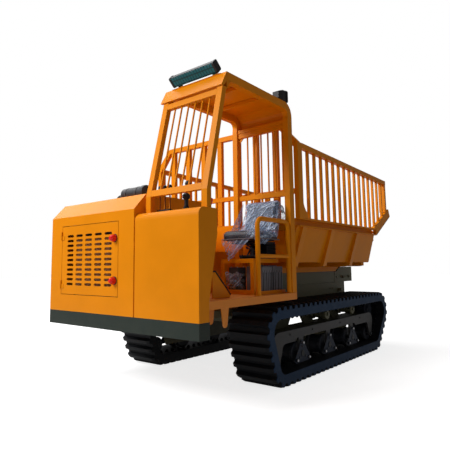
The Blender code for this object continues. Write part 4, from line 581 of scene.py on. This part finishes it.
bmesh.ops.create_circle(elbow, cap_ends=False, segments=20, radius=0.0275,
                        matrix=Matrix.Translation((-0.328, DRUM_Y, HOSE_Z)) @ Matrix.Rotation(pi / 2, 4, "Y"))
run = bmesh.ops.extrude_edge_only(elbow, edges=elbow.edges[:])["geom"]
verts = [item for item in run if isinstance(item, bmesh.types.BMVert)]
bmesh.ops.translate(elbow, verts=verts, vec=(-0.022, 0, 0))
edges = [item for item in run if isinstance(item, bmesh.types.BMEdge) and all(vert in verts for vert in item.verts)]
bmesh.ops.spin(elbow, geom=verts + edges, cent=(-0.350, DRUM_Y, 1.744), axis=(0, 1, 0), angle=-pi / 2, steps=8)
closed(elbow)
bar(elbow, -0.399, DRUM_Y, (HOOD_TOP, 1.751), 0.038, 24, 0.034)
mesh_piece("air_hose_elbow", elbow, rubber, smooth=50)


# Console: folded sheet with a rolled front edge, enamelled orange, welded at the bumper and bolted behind.
# At its open back stands the sloping pedal plate, with black rubber grip strips and an orange cheek.

put(orange, "console", "foot_pedal")
PEDAL_SIDE = 0.858
seams, trim = bmesh.new(), bmesh.new()
weld(seams, 0.991, (-2.0605, -1.95), (0.7, 0.695), 0.0025)
weld(seams, (0.3, 0.98), -1.8395, 1.552, 0.0028)
bolts(seams, [(x, -1.841, 1.50) for x in (0.36, 0.64, 0.93)], 0.009, facing=(0, 1, 0))
mesh_piece("console_seams", seams, orange)
for along in (0.15, 0.35, 0.55, 0.75, 0.93):
    y, z = -1.686 + 0.185 * along, 1.066 - 0.190 * along
    block(trim, (0.748, 0.852), (y - 0.012, y + 0.012), (z - 0.008, z + 0.006), 0.003)
bar(trim, PEDAL_SIDE, (-1.699, -1.503), (1.062, 0.868), 0.0065, 10)
bar(trim, PEDAL_SIDE, (-1.699, -1.736), 1.062, 0.0065, 10)
mesh_piece("pedal_grips", trim, rubber)
cheek = bmesh.new()
outline = ((-1.736, 1.06), (-1.699, 1.06), (-1.506, 0.868), (-1.506, 0.845), (-1.736, 0.845))
side_face = cheek.faces.new([cheek.verts.new((PEDAL_SIDE, y, z)) for y, z in outline])
pushed = bmesh.ops.extrude_face_region(cheek, geom=[side_face])["geom"]
verts = [item for item in pushed if isinstance(item, bmesh.types.BMVert)]
bmesh.ops.translate(cheek, verts=verts, vec=(-0.008, 0, 0))
mesh_piece("pedal_cheek", cheek, orange)

# Floor tray: tread plate with a raised pattern of short diagonal bars, enamelled orange and dusty.

TREAD_PLATE, tree, shader = finish_named("tread_plate")
place = on_piece(tree)
bars = []
for turn, shift in ((0.785, 0.0), (-0.785, 0.0175)):
    laid = bring(tree, "ShaderNodeMapping", {"Vector": place, "Location": (shift, shift, 0.0)}).outputs[0]
    local = vectors(tree, "SUBTRACT", vectors(tree, "MODULO", laid, (0.035, 0.035, 10.0)), (0.0175, -0.0175, 0.0))
    turned = bring(tree, "ShaderNodeVectorRotate", {"Vector": local, "Angle": turn}, rotation_type="Z_AXIS")
    reach = vectors(tree, "LENGTH", vectors(tree, "MULTIPLY", turned.outputs[0], (1.0, 3.6, 0.0)))
    bars.append(span(tree, reach, 0.0135, 0.01))
on_top = maths(tree, "GREATER_THAN", axes(tree, place)["Z"], 0.8405)
raised = product(tree, maths(tree, "MAXIMUM", *bars), on_top)
smooth = coat(tree, shader, (0.80, 0.235, 0.004), (0.88, 0.36, 0.05), (0.20, 0.15, 0.10), 0.5, 0.42, 0.2,
              specular=0.5)
give(tree, shader, {"Normal": bumped(tree, raised, 1.0, 0.0015, smooth)})
put(TREAD_PLATE, "cab_floor")


# Cab frame: two hoops and the leaning front posts in box tube, mitred and welded on the floor tray, with the
# roof sheet, the window guard and the rear guard welded in. All of it is sprayed with the hood.

GUARD_SIDES = (0.366, 0.940)
WINDOW_LEAN = 0.238
TRAY_TOP = 0.843
put(orange, "cab_frame", "cab_roof", "window_guard", "rear_guard", "handrail")
seams, feet = bmesh.new(), bmesh.new()
for left in (0.306, 0.940):
    right_side = left + 0.06
    weld(seams, (left, right_side), -0.7065, TRAY_TOP)
    for x in (left, right_side):
        weld(seams, x, (-0.706, -0.626), TRAY_TOP)
        weld(seams, x, (-1.961, -1.911), 1.557)
        weld(seams, x, (-1.689, -1.64), 2.652, 0.003)
    weld(seams, (left, right_side), -1.9105, 1.557)
for x in GUARD_SIDES:
    for z in (1.70, 1.755):
        lean = (z - 1.70) * WINDOW_LEAN
        weld(seams, x, (lean - 1.96, lean - 1.91), z, 0.0028)
    for z in (1.79, 1.84, 2.48, 2.53):
        weld(seams, x, (-0.686, -0.646), z, 0.0028)
    for z in (1.45, 1.50, 2.53, 2.57):
        weld(seams, x, (-0.691, -0.641), z, 0.003)
for i in range(6):
    x = 0.366 + 0.574 * (i + 1) / 7
    for z in (1.755, 2.521):
        bar(seams, x, (z - 1.70) * WINDOW_LEAN - 1.936, (z - 0.003, z + 0.003), 0.0105, 10)
    x = 0.478 + 0.086 * i
    for z in (1.84, 2.48):
        bar(seams, x, -0.666, (z - 0.003, z + 0.003), 0.0115, 10)
for y, inner, reach in ((-1.251, 1, 0.036), (-0.729, -1, 0.0235)):
    bar(feet, 0.976, y, (0.8425, 0.848), reach, 24)
    bar(seams, 0.976, (y + inner * 0.02, y + inner * 0.024), 1.19, 0.02, 16, 0.018)
bmesh.ops.bisect_plane(feet, geom=feet.verts[:] + feet.edges[:] + feet.faces[:], plane_co=(1.0, 0, 0),
                       plane_no=(1, 0, 0), clear_outer=True)
closed(feet)
bolts(feet, [(x, y, 0.848) for x, y in ((0.951, -1.251), (0.976, -1.276), (0.976, -1.226))], 0.006, 0.005)
mesh_piece("cab_seams", seams, orange)
mesh_piece("handrail_feet", feet, orange)

# Roof: orange sheet between the hoops, with two folded stiffeners below it that are tacked to the hoops at
# their ends.

stays = bmesh.new()
for y in (-1.40, -1.05):
    block(stays, (0.372, 0.934), (y, y + 0.035), (2.690, 2.7235), 0.002)
mesh_piece("roof_stiffeners", stays, orange)


# Seat stand: angle iron frame welded up and enamelled orange, with the tray beside it that the two
# batteries stand in.

put(orange, "seat_stand")
seams = bmesh.new()
for x in (0.48, 0.82):
    for y in (-1.151, -0.761):
        weld(seams, (x + 0.001, x + 0.039), y, 1.13, 0.0028)
        if (x, y) != (0.82, -0.761):
            weld(seams, (x, x + 0.04), y, 0.8435, 0.0028)
mesh_piece("stand_seams", seams, orange)

# Batteries: moulded cases of dark polypropylene whose upright ribs are painted, lighter on the ribs and with painted
# shade in the grooves, a lid with six filler plugs and two posts, one with a square clamp and the other under a red
# cap.

battery_case, tree, shader = finish_named("battery_case")
place = on_piece(tree)
length = axes(tree, place)["Y"]
rear_case = maths(tree, "GREATER_THAN", length, -0.851)
along = maths(tree, "ADD", length, maths(tree, "MULTIPLY_ADD", rear_case, -0.005, 0.004))
# The ribs are only painted: rib faces lighter as a painted highlight, grooves nearly black as painted shade.
rib = span(tree, maths(tree, "PINGPONG", along, 0.0145), 0.005, 0.0075, 0.05, 1.15)
tone = span(tree, clouds(tree, place, 14.0, 4.0), 0.0, 1.0, 0.7, 1.3)
ribs_lit_and_shaded = vectors(tree, "SCALE", (0.17, 0.17, 0.195), scale=product(tree, tone, rib))
bump = bumped(tree, clouds(tree, place, 420.0, 2.0), 0.4, 0.0004, soft_edge(tree, 0.003))
give(tree, shader, {"Base Color": ribs_lit_and_shaded, "Normal": bump, "Roughness": 0.42, "Specular IOR Level": 0.4})
lid_plastic = paint("lid_plastic", "battery_case", (0.135, 0.14, 0.155), (0.16, 0.16, 0.17), amount=0.2,
                    roughness=0.38, specular=0.4)
for name in ("battery_front", "battery_rear"):
    put(battery_case, name)
    low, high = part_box(name)
    (x, y), (right_edge, back_edge, top) = low[:2], high
    lid, posts, caps = bmesh.new(), bmesh.new(), bmesh.new()
    block(lid, (x - 0.001, right_edge - 0.001), (y + 0.0005, back_edge - 0.0005), (top - 0.030, top + 0.006), 0.004)
    block(lid, (x + 0.02, right_edge - 0.03), (y + 0.055, back_edge - 0.055), (top + 0.002, top + 0.014), 0.003)
    for i in range(6):
        bar(lid, x + 0.036 + 0.022 * i, (y + back_edge) / 2, (top + 0.013, top + 0.018), 0.008, 12, 0.007)
    bar(posts, x + 0.03, y + 0.03, (top + 0.004, top + 0.022), 0.009, 14, 0.0075)
    block(posts, (x + 0.018, x + 0.042), (y + 0.018, y + 0.042), (top + 0.005, top + 0.010), 0.002)
    bar(caps, x + 0.03, back_edge - 0.03, (top + 0.004, top + 0.020), 0.013, 16, 0.010)
    mesh_piece(name + "_lid", lid, lid_plastic)
    mesh_piece(name + "_post", posts, casting)
    mesh_piece(name + "_cap", caps, red)

# Valve block: machined grey iron under the seat, with plated hexagon plugs and round spool caps in three rows
# and four bolts on top.

put(casting, "valve_block")
fittings = bmesh.new()
for z in (0.90, 0.96, 1.02):
    bar(fittings, (0.53, 0.512), -1.026, z, 0.017, 6)
    bar(fittings, (0.635, 0.655), -1.026, z, 0.018, 20)
    bar(fittings, 0.56, (-1.091, -1.106), z, 0.013, 6)
    bar(fittings, 0.605, (-1.091, -1.112), z, 0.014, 16)
bolts(fittings, [(x, y, 1.09) for x in (0.545, 0.62) for y in (-1.075, -0.978)], 0.007)
mesh_piece("valve_fittings", fittings, steel, smooth=35)


# Seat suspension: pressed base with slide rails, a rubber bellows over the spring and the pan that carries
# the cushion, all black, with an adjusting lever at the front. It stands for the plain block in the solids.

bellows, plates = bmesh.new(), bmesh.new()
for i in range(7):
    z = 1.204 + i * 0.0152
    block(bellows, (0.700, 0.897), (-0.990, -0.816), (z, z + 0.0122), 0.006)
    block(bellows, (0.709, 0.888), (-0.981, -0.825), (z + 0.004, z + 0.0172))
block(plates, (0.570, 0.890), (-1.100, -0.820), (1.312, 1.3295), 0.004)
block(plates, (0.665, 0.898), (-1.108, -0.815), (1.186, 1.203), 0.004)
for x in (0.675, 0.858):
    block(plates, (x, x + 0.030), (-1.111, -0.812), (1.1703, 1.188), 0.002)
bolts(plates, [(x, y, 1.203) for x in (0.690, 0.875) for y in (-1.090, -1.010)], 0.006, 0.005)
block(plates, (0.792, 0.822), (-1.104, -1.078), (1.200, 1.268), 0.004)
for low, high in (((0.806, 1.262), (0.752, 1.304)), ((0.806, 1.242), (0.748, 1.276))):
    bar(plates, (low[0], high[0]), (-1.092, -1.102), (low[1], high[1]), 0.0065, 10)
    bar(plates, (high[0] + 0.014, high[0]), (-1.0995, -1.102), (high[1] - 0.011, high[1]), 0.01, 12)
bar(plates, (0.7, 0.76), (-1.03, -1.0), (1.195, 1.315), 0.007, 10)
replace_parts(mesh_piece("suspension_bellows", bellows, rubber), "seat_suspension")
mesh_piece("suspension_plates", plates, black)

# Seat pads: foam under black vinyl with a fine leather grain, sewn across the cushion and the back, with a
# paler piping round the foot of each. The pads are swollen by air pressure from plain blocks, as foam fills a cover.

vinyl, tree, shader = finish_named("seat_vinyl")
place = on_piece(tree)
cells = bring(tree, "ShaderNodeTexVoronoi", {"Vector": place, "Scale": 420.0}, feature="DISTANCE_TO_EDGE")
creases = clouds(tree, place, 26.0, 5.0)
relief = maths(tree, "MULTIPLY_ADD", cells.outputs["Distance"], 0.5, creases)
bump = bumped(tree, relief, 0.45, 0.0012)
worn = span(tree, creases, 0.0, 1.0, 0.32, 0.55)
toned = mixed(tree, creases, (0.013, 0.012, 0.014), (0.04, 0.034, 0.037))
give(tree, shader, {"Base Color": toned, "Roughness": worn, "Normal": bump, "Specular IOR Level": 0.45})
piping_vinyl = paint("piping_vinyl", "seat_cover", (0.17, 0.145, 0.15), (0.25, 0.22, 0.22), amount=0.1, roughness=0.4,
                     radius=0.001)


def simulated(obj, last, settings, pinned=None):
    """Mesh of a piece after its cloth has moved for some frames, its modifiers taken off again."""
    cloth = obj.modifiers.new("cloth", "CLOTH")
    for title, value in settings.items():
        setattr(cloth.settings, title, value)
    cloth.settings.effector_weights.gravity = 1.0 if pinned else 0.0
    if pinned:
        cloth.settings.vertex_group_mass = pinned
        cloth.collision_settings.distance_min = 0.003
        cloth.collision_settings.collision_quality = 3
    cloth.point_cache.frame_end = last
    for moment in range(1, last + 1):
        scene.frame_set(moment)
    shaped = bpy.data.meshes.new_from_object(obj.evaluated_get(bpy.context.evaluated_depsgraph_get()))
    obj.modifiers.clear()
    scene.frame_set(1)
    return shaped


def pad(name, size, lean, seams, place, most):
    """Upholstered pad: a block remeshed fine, swollen, drawn in along its seams and smoothed."""
    bm = bmesh.new()
    block(bm, (-size[0] / 2, size[0] / 2), (-size[1] / 2, size[1] / 2), (0, size[2]), 0.024)
    made = linked_mesh(name, bm)
    fine = made.modifiers.new("fine", "REMESH")
    fine.mode = "VOXEL"
    fine.voxel_size = 0.0065
    made.data = bpy.data.meshes.new_from_object(made.evaluated_get(bpy.context.evaluated_depsgraph_get()))
    made.modifiers.clear()
    before = [vert.co.copy() for vert in made.data.vertices]
    made.data = simulated(made, 20, {
        "quality": 5, "mass": 0.15, "use_pressure": True, "uniform_pressure_force": 4.0,
        "tension_stiffness": 12.0, "compression_stiffness": 12.0, "bending_stiffness": 0.8})
    for vert, old in zip(made.data.vertices, before):
        shift = vert.co - old
        if shift.length > most:
            vert.co = old + shift * (most / shift.length)
    for vert in made.data.vertices:
        for axis, at in seams:
            across = abs(vert.co[axis] - at)
            if across < 0.020:
                middle = Vector((vert.co.x * (1.0 if axis == 1 else 0.97), vert.co.y, size[2] / 2))
                vert.co = vert.co.lerp(middle, 0.17 * (1 - across / 0.020) ** 2)
        vert.co.z += 0.0016 * noise.noise(vert.co * 14.0)
        vert.co.y += lean * vert.co.z
        vert.co += Vector(place)
    made.data.shade_smooth()
    smooth = made.modifiers.new("smooth", "SUBSURF")
    smooth.levels = smooth.render_levels = 1
    put(vinyl, made)
    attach(made, "chassis")
    return made


def piping(name, x, y, z, corner, radius):
    """Cord sewn round the foot of a pad, along a rectangle with round corners."""
    bm = bmesh.new()
    route = []
    for cx, cy, start in ((x[1] - corner, y[1] - corner, 0), (x[0] + corner, y[1] - corner, 90),
                          (x[0] + corner, y[0] + corner, 180), (x[1] - corner, y[0] + corner, 270)):
        for step in range(5):
            angle = radians(start + 22.5 * step)
            route.append(Vector((cx + corner * cos(angle), cy + corner * sin(angle), z)))
    for point, after in zip(route, route[1:] + route[:1]):
        bar(bm, *zip(point, after + (after - point).normalized() * radius * 0.4), radius, 8)
    return mesh_piece(name, bm, piping_vinyl, smooth=60)


cushion = pad("cushion_pad", (0.405, 0.39, 0.072), 0.0, ((1, -0.125), (1, 0.02), (1, 0.115)), (0.7275, -1.001, 1.346),
              0.011)
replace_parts(cushion, "seat_cushion")
piping("cushion_piping", (0.519, 0.936), (-1.202, -0.800), 1.352, 0.035, 0.0045)
back = pad("back_pad", (0.385, 0.064, 0.300), 0.19, ((2, 0.10), (2, 0.20)), (0.7275, -0.829, 1.442), 0.010)
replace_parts(back, "seat_back")

# Dust film: the seat still wears the clear plastic bag it was shipped in. It is tucked behind the back, drawn
# over it and the cushion, stands off in a stretched web at the left and hangs in a point under the front.

film, tree, shader = finish_named("clear_film")
place = on_piece(tree)
slanted = bring(tree, "ShaderNodeMapping", {"Vector": place, "Rotation": (0.0, 0.75, 0.0)}).outputs[0]
drawn = bring(tree, "ShaderNodeMapping", {"Vector": slanted, "Scale": (3.0, 9.0, 17.0)}).outputs[0]
ridges = maths(tree, "PINGPONG", clouds(tree, drawn, 1.0, 3.0, 0.55, 1.4), 0.13)
bump = bumped(tree, ridges, 0.8, 0.05)
facing = bring(tree, "ShaderNodeLayerWeight", {"Blend": 0.42, "Normal": bump})
crest_highlight = span(tree, ridges, 0.085, 0.13, 0.0, 0.55)
valley = span(tree, ridges, 0.005, 0.03, 0.42, 1.0)
veil = span(tree, facing.outputs["Facing"], 0.15, 0.85, 0.36, 0.82)
cover = maths(tree, "ADD", crest_highlight, product(tree, veil, valley), clamp=True)
split = axes(tree, place)
tight = product(tree, span(tree, split["Y"], -1.15, -1.168), span(tree, split["Z"], 1.338, 1.35),
                span(tree, split["X"], 0.86, 0.8))
cover = product(tree, cover, span(tree, tight, 0.0, 1.0, 1.0, 0.12))
# Ridge crests turn near white: a painted highlight on the creases of the film.
tinted = mixed(tree, crest_highlight, (0.3, 0.43, 0.66), (0.92, 0.95, 1.0))
give(tree, shader,
     {"Base Color": tinted, "Alpha": cover, "Normal": bump, "Roughness": 0.16, "Specular IOR Level": 0.7})


def film_sheet(name, columns, rows, spot, crumple, keep=None):
    """Crumpled sheet of film whose points are placed by their share across and along it."""
    bm = bmesh.new()
    bmesh.ops.create_grid(bm, x_segments=columns, y_segments=rows, size=0.5)
    if keep:
        middles = {face: face.calc_center_median() for face in bm.faces}
        left_off = [face for face, middle in middles.items() if not keep(middle.x + 0.5, middle.y + 0.5)]
        bmesh.ops.delete(bm, geom=left_off, context="FACES")
    for vert in bm.verts:
        vert.co = Vector(spot(vert.co.x + 0.5, vert.co.y + 0.5))
    bm.normal_update()
    for vert in bm.verts:
        drawn = Vector((vert.co.x + vert.co.z, vert.co.y * 2.0, (vert.co.z - vert.co.x) * 3.2))
        wave = noise.noise(drawn * 7.0) + 0.5 * noise.noise(vert.co * 30.0) + 0.15 * noise.noise(vert.co * 80.0)
        vert.co += vert.normal * crumple * wave
    made = linked_mesh(name, bm)
    put(film, made)
    made.data.shade_smooth()
    return made


PROFILE = ((-0.708, 1.545), (-0.706, 1.735), (-0.730, 1.770), (-0.800, 1.772), (-0.832, 1.745), (-0.884, 1.478),
           (-0.925, 1.446), (-1.185, 1.446), (-1.216, 1.425), (-1.222, 1.190))
runs = [dist(a, b) for a, b in zip(PROFILE, PROFILE[1:])]
FILM_LENGTH = sum(runs)


def over_seat(u, v):
    """Place over the back and the cushion for a share across and along the film."""
    distance = v * FILM_LENGTH
    for (y0, z0), (y1, z1), run in zip(PROFILE, PROFILE[1:], runs):
        if distance <= run:
            break
        distance -= run
    share = min(distance / run, 1.0)
    wrapped = max(0.0, u - 0.84) * 0.5357
    seated = min(1.0, max(0.0, (v - 0.60) / 0.06))
    return (0.499 + 0.450 * min(u / 0.84, 1.0), y0 + (y1 - y0) * share + wrapped * (1 - seated),
            z0 + (z1 - z0) * share - wrapped * seated)


def hangs(u, v):
    """Whether the film reaches this far: its front edge hangs in a point at the left."""
    below = v * FILM_LENGTH - (FILM_LENGTH - runs[-1])
    point = 1 - (0.10 - u) / 0.10 if u < 0.10 else 1 - (u - 0.10) / 0.54
    return below < 0.012 + 0.190 * max(0.0, point)


seat_film = film_sheet("seat_film", 72, 150, over_seat, 0.007, hangs)
pinned = seat_film.vertex_groups.new(name="tucked")
held = [vert.index for vert in seat_film.data.vertices if vert.co.y > -0.715 and vert.co.z < 1.60]
pinned.add(held, 1.0, "REPLACE")
solids = []
for pad_piece in (cushion, back):
    firm = pad_piece.modifiers.new("firm", "COLLISION")
    pad_piece.collision.thickness_outer = 0.004
    solids.append((pad_piece, firm))
seat_film.data = simulated(seat_film, 26, {
    "quality": 6, "mass": 0.06, "tension_stiffness": 10.0, "compression_stiffness": 10.0,
    "bending_stiffness": 0.25}, "tucked")
for pad_piece, firm in solids:
    pad_piece.modifiers.remove(firm)
seat_film.vertex_groups.clear()
seat_film.data.shade_smooth()
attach(seat_film, "chassis")

web_top, web_foot = Vector((0.516, -0.806, 1.752)), Vector((0.510, -0.880, 1.452))
web_front = Vector((0.508, -1.02, 1.448))
web = film_sheet("seat_film_web", 30, 30, lambda u, v: web_foot.lerp(web_front, u).lerp(web_top, v * 0.985), 0.006)
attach(web, "chassis")
bundle = film_sheet("film_bundle", 60, 40, lambda u, v: (
    0.505 + 0.200 * u + 0.010 * sin(9 * v), -1.127 + 0.009 * sin(7 * u + 5 * v),
    0.905 + 0.135 * v + 0.010 * sin(11 * u)), 0.009)
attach(bundle, "chassis")


# Controls: black levers with moulded balls in rubber boots on the console, the three small ones in orange sleeves
# that are a painted reflection of the orange cab in their plated rods, and the red conical grip of the hand lever.
# A small panel beside them has two blank dials and a key switch.

put(black, "steering_lever", "lever_bank")
put(red, "side_lever")
STEERING_FOOT = (0.690, -1.862)
boots, rods, reflection_sleeves = bmesh.new(), bmesh.new(), bmesh.new()
for i in range(4):
    bar(boots, *STEERING_FOOT, (1.556 + 0.012 * i, 1.57 + 0.012 * i), 0.034 - 0.004 * i, 20, 0.029 - 0.004 * i)
for x in (0.39, 0.45, 0.51):
    bar(boots, x, -1.876, (1.584, 1.592), 0.015, 14, 0.01)
    # Orange sleeves over the three small rods: a painted reflection of the orange cab around them.
    bar(reflection_sleeves, x, (-1.876, -1.8716), (1.59, 1.757), 0.0066, 12)
bar(rods, STEERING_FOOT[0], (STEERING_FOOT[1], -1.8425), (1.703, 1.765), 0.0096, 14)
mesh_piece("lever_boots", boots, rubber, smooth=40)
mesh_piece("lever_rods", rods, black, smooth=40)
mesh_piece("lever_reflection_sleeves", reflection_sleeves, orange, smooth=40)
panel, dials, rims = bmesh.new(), bmesh.new(), bmesh.new()
block(panel, (0.755, 0.895), (-1.945, -1.855), (1.5563, 1.564), 0.003)
for x in (0.79, 0.86):
    bar(rims, x, -1.905, (1.5635, 1.567), 0.026, 24, 0.024)
    bar(dials, x, -1.905, (1.566, 1.5675), 0.02, 24)
bar(rims, 0.825, -1.868, (1.5635, 1.569), 0.01, 16)
mesh_piece("instrument_panel", panel, black)
mesh_piece("instrument_rims", rims, steel, smooth=40)
mesh_piece("instrument_dials", dials, lid_plastic, smooth=40)


# Light bar: finned aluminium body in black between moulded end caps, on two feet. Two rows of small reflectors
# show through its tinted lens; the work lamp behind has one square lens in a round-cornered bezel.

LENS, tree, shader = finish_named("tinted_lens")
split = axes(tree, on_piece(tree))
columns = span(tree, maths(tree, "PINGPONG", split["X"], 0.0152), 0.001, 0.006)
rows = span(tree, maths(tree, "PINGPONG", split["Z"], 0.0155), 0.001, 0.006)
cup = product(tree, columns, rows)
glazed = mixed(tree, cup, (0.006, 0.05, 0.06), (0.01, 0.125, 0.15))
bump = bumped(tree, cup, 0.5, 0.003, inward=True)
give(tree, shader, {"Base Color": glazed, "Normal": bump, "Roughness": 0.22, "Specular IOR Level": 0.15})
put(LENS, "light_lens")
put(black, "light_bar", "work_lamp")
fixings, glass = bmesh.new(), bmesh.new()
for x in (0.415, 0.840):
    block(fixings, (x - 0.022, x + 0.022), (-1.655, -1.612), (2.7303, 2.7345), 0.001)
    bolts(fixings, [(x - 0.013, -1.622, 2.7345), (x + 0.013, -1.622, 2.7345)], 0.006, 0.005)
    bar(fixings, (x - 0.02, x + 0.02), -1.637, 2.775, 0.008, 12)
bolts(fixings, [(0.92, -0.746, 2.7305), (0.92, -0.71, 2.7305)], 0.007)
block(glass, (0.878, 0.962), (-0.647, -0.6463), (2.772, 2.857))
mesh_piece("lamp_fixings", fixings, steel)
mesh_piece("work_lamp_lens", glass, LENS)


# Load bed: trough of 6 mm sheet on runners and tapered ribs, with channel rails, barred fences and a gate, all
# welded and enamelled orange. The inside is scuffed to bare grey steel by its loads.

BED, tree, shader = finish_named("bed_enamel")
place = on_piece(tree)
split = axes(tree, place)
slope_x = maths(tree, "MULTIPLY_ADD", split["Z"], 0.3455, 0.4705)
inside = maths(tree, "SUBTRACT", slope_x, maths(tree, "ABSOLUTE", split["X"]))
inside_x = span(tree, inside, 0.0, 0.004)
inside_z = span(tree, split["Z"], 1.1385, 1.1405)
behind_wall = maths(tree, "GREATER_THAN", split["Y"], -0.5547)
low_part = span(tree, split["Z"], 1.46, 1.25, 0.2, 1.0)
streaked = bring(tree, "ShaderNodeMapping", {"Vector": place, "Scale": (7.0, 0.7, 7.0)}).outputs[0]
bare = span(tree, clouds(tree, streaked, 6.0, 9.0, 0.72), 0.55, 0.66)
mask = product(tree, inside_x, inside_z, low_part, bare, behind_wall)
worn_paint = mixed(tree, mask, (0.8, 0.25, 0.001), (0.16, 0.15, 0.14))
coat(tree, shader, worn_paint, (0.9, 0.36, 0.04), (0.3, 0.24, 0.17), 0.15, 0.32, 0.12, specular=0.08)
put(BED, "bed_tub")
put(orange, "bed_underframe", "headboard", "side_fence_left", "side_fence_right", "tailgate")


def panel_x(z):
    """Outside of the sloping side panel at a height."""
    return 0.865 + (z - 1.135) / 0.356 * 0.123


RAIL_TOP = 1.5855
HEADBOARD_FACES = (-0.5605, -0.5115)
seams, tail_shade_pieces, gate_seams = bmesh.new(), bmesh.new(), bmesh.new()
for side in (-1, 1):
    for rib in (-0.441, 0.219, 0.939):
        for y in (rib - 0.0405, rib + 0.0405):
            weld(seams, (side * (panel_x(1.15) + 0.001), side * (panel_x(1.485) + 0.001)), y, (1.15, 1.485), 0.0034)
    weld(seams, side * 0.866, (-0.56, 1.6), 1.134, 0.003, 0.02)
    weld(seams, side * 0.9525, (-0.56, -0.475), 1.5755, 0.003)
    for z in (1.83, 1.88):
        weld(seams, side * 0.973, (-0.5605, -0.512), z, 0.003)
    for i in range(12):
        y = -0.4727 + 2.4687 / 16 * (i + 1)
        for x in (side * 0.984, side * 1.012):
            weld(seams, x, (y - 0.014, y + 0.014), RAIL_TOP, 0.003, 0.007)
    # A thin dark strip under each up-swept tail is painted shade for its shaded underside, and a dark disc on each
    # tail cheek is painted shade in the pin hole.
    start, end = ends(side * 1.001, (1.56, 2.114), (1.5015, 1.791))
    middle = Matrix.Translation((start + end) / 2 + Vector((0, 0.001, -0.002)))
    turn = (end - start).to_track_quat("Z", "Y").to_matrix().to_4x4()
    bmesh.ops.create_cube(tail_shade_pieces, size=1,
                          matrix=middle @ turn @ Matrix.Diagonal((0.042, 0.004, (end - start).length, 1)))
    bar(tail_shade_pieces, (side * 1.0215, side * 1.0227), 1.767, 1.715, 0.012, 16)
    weld(gate_seams, side * 0.86, 1.5935, (1.42, 1.24), 0.003)
for x in (-0.75, -0.5, -0.25, 0.0, 0.25, 0.5, 0.75):
    for z in (1.554, 1.829, 1.881):
        for y in HEADBOARD_FACES:
            weld(seams, (x - 0.03, x + 0.03), y, z, 0.003)
    weld(seams, (x - 0.03, x + 0.03), HEADBOARD_FACES[0], 2.531, 0.003)
mesh_piece("bed_seams", seams, orange, "bed")
mesh_piece("tail_shade_strips", tail_shade_pieces, rubber, "bed")
mesh_piece("gate_seams", gate_seams, orange, "tailgate")


# Hoist: single tipping cylinder pinned in the chassis under the bed. Its barrel is black enamel with a cast
# ring nut and two ports, its rod hard chromed.

put(black, "hoist_barrel")
chrome = paint("hard_chrome", "bright_steel", (0.62, 0.62, 0.64), (0.7, 0.7, 0.72), amount=0.05, roughness=0.08,
               peel=0.02, metallic=1.0)
put(chrome, "hoist_rod")
nut = bmesh.new()
foot, along, square = Vector((0, 0.039, 0.66)), Vector((0, 0.969718, 0.244225)), Vector((0, -0.2442, 0.9697))
bar(nut, *zip(foot + along * 0.955, foot + along), 0.0585, 28)
for share in (0.13, 0.90):
    port = foot + along * share + square * 0.050
    bar(nut, *zip(port, port + square * 0.022), 0.014, 6)
mesh_piece("hoist_ring_nut", nut, casting, "hoist_barrel", 40)
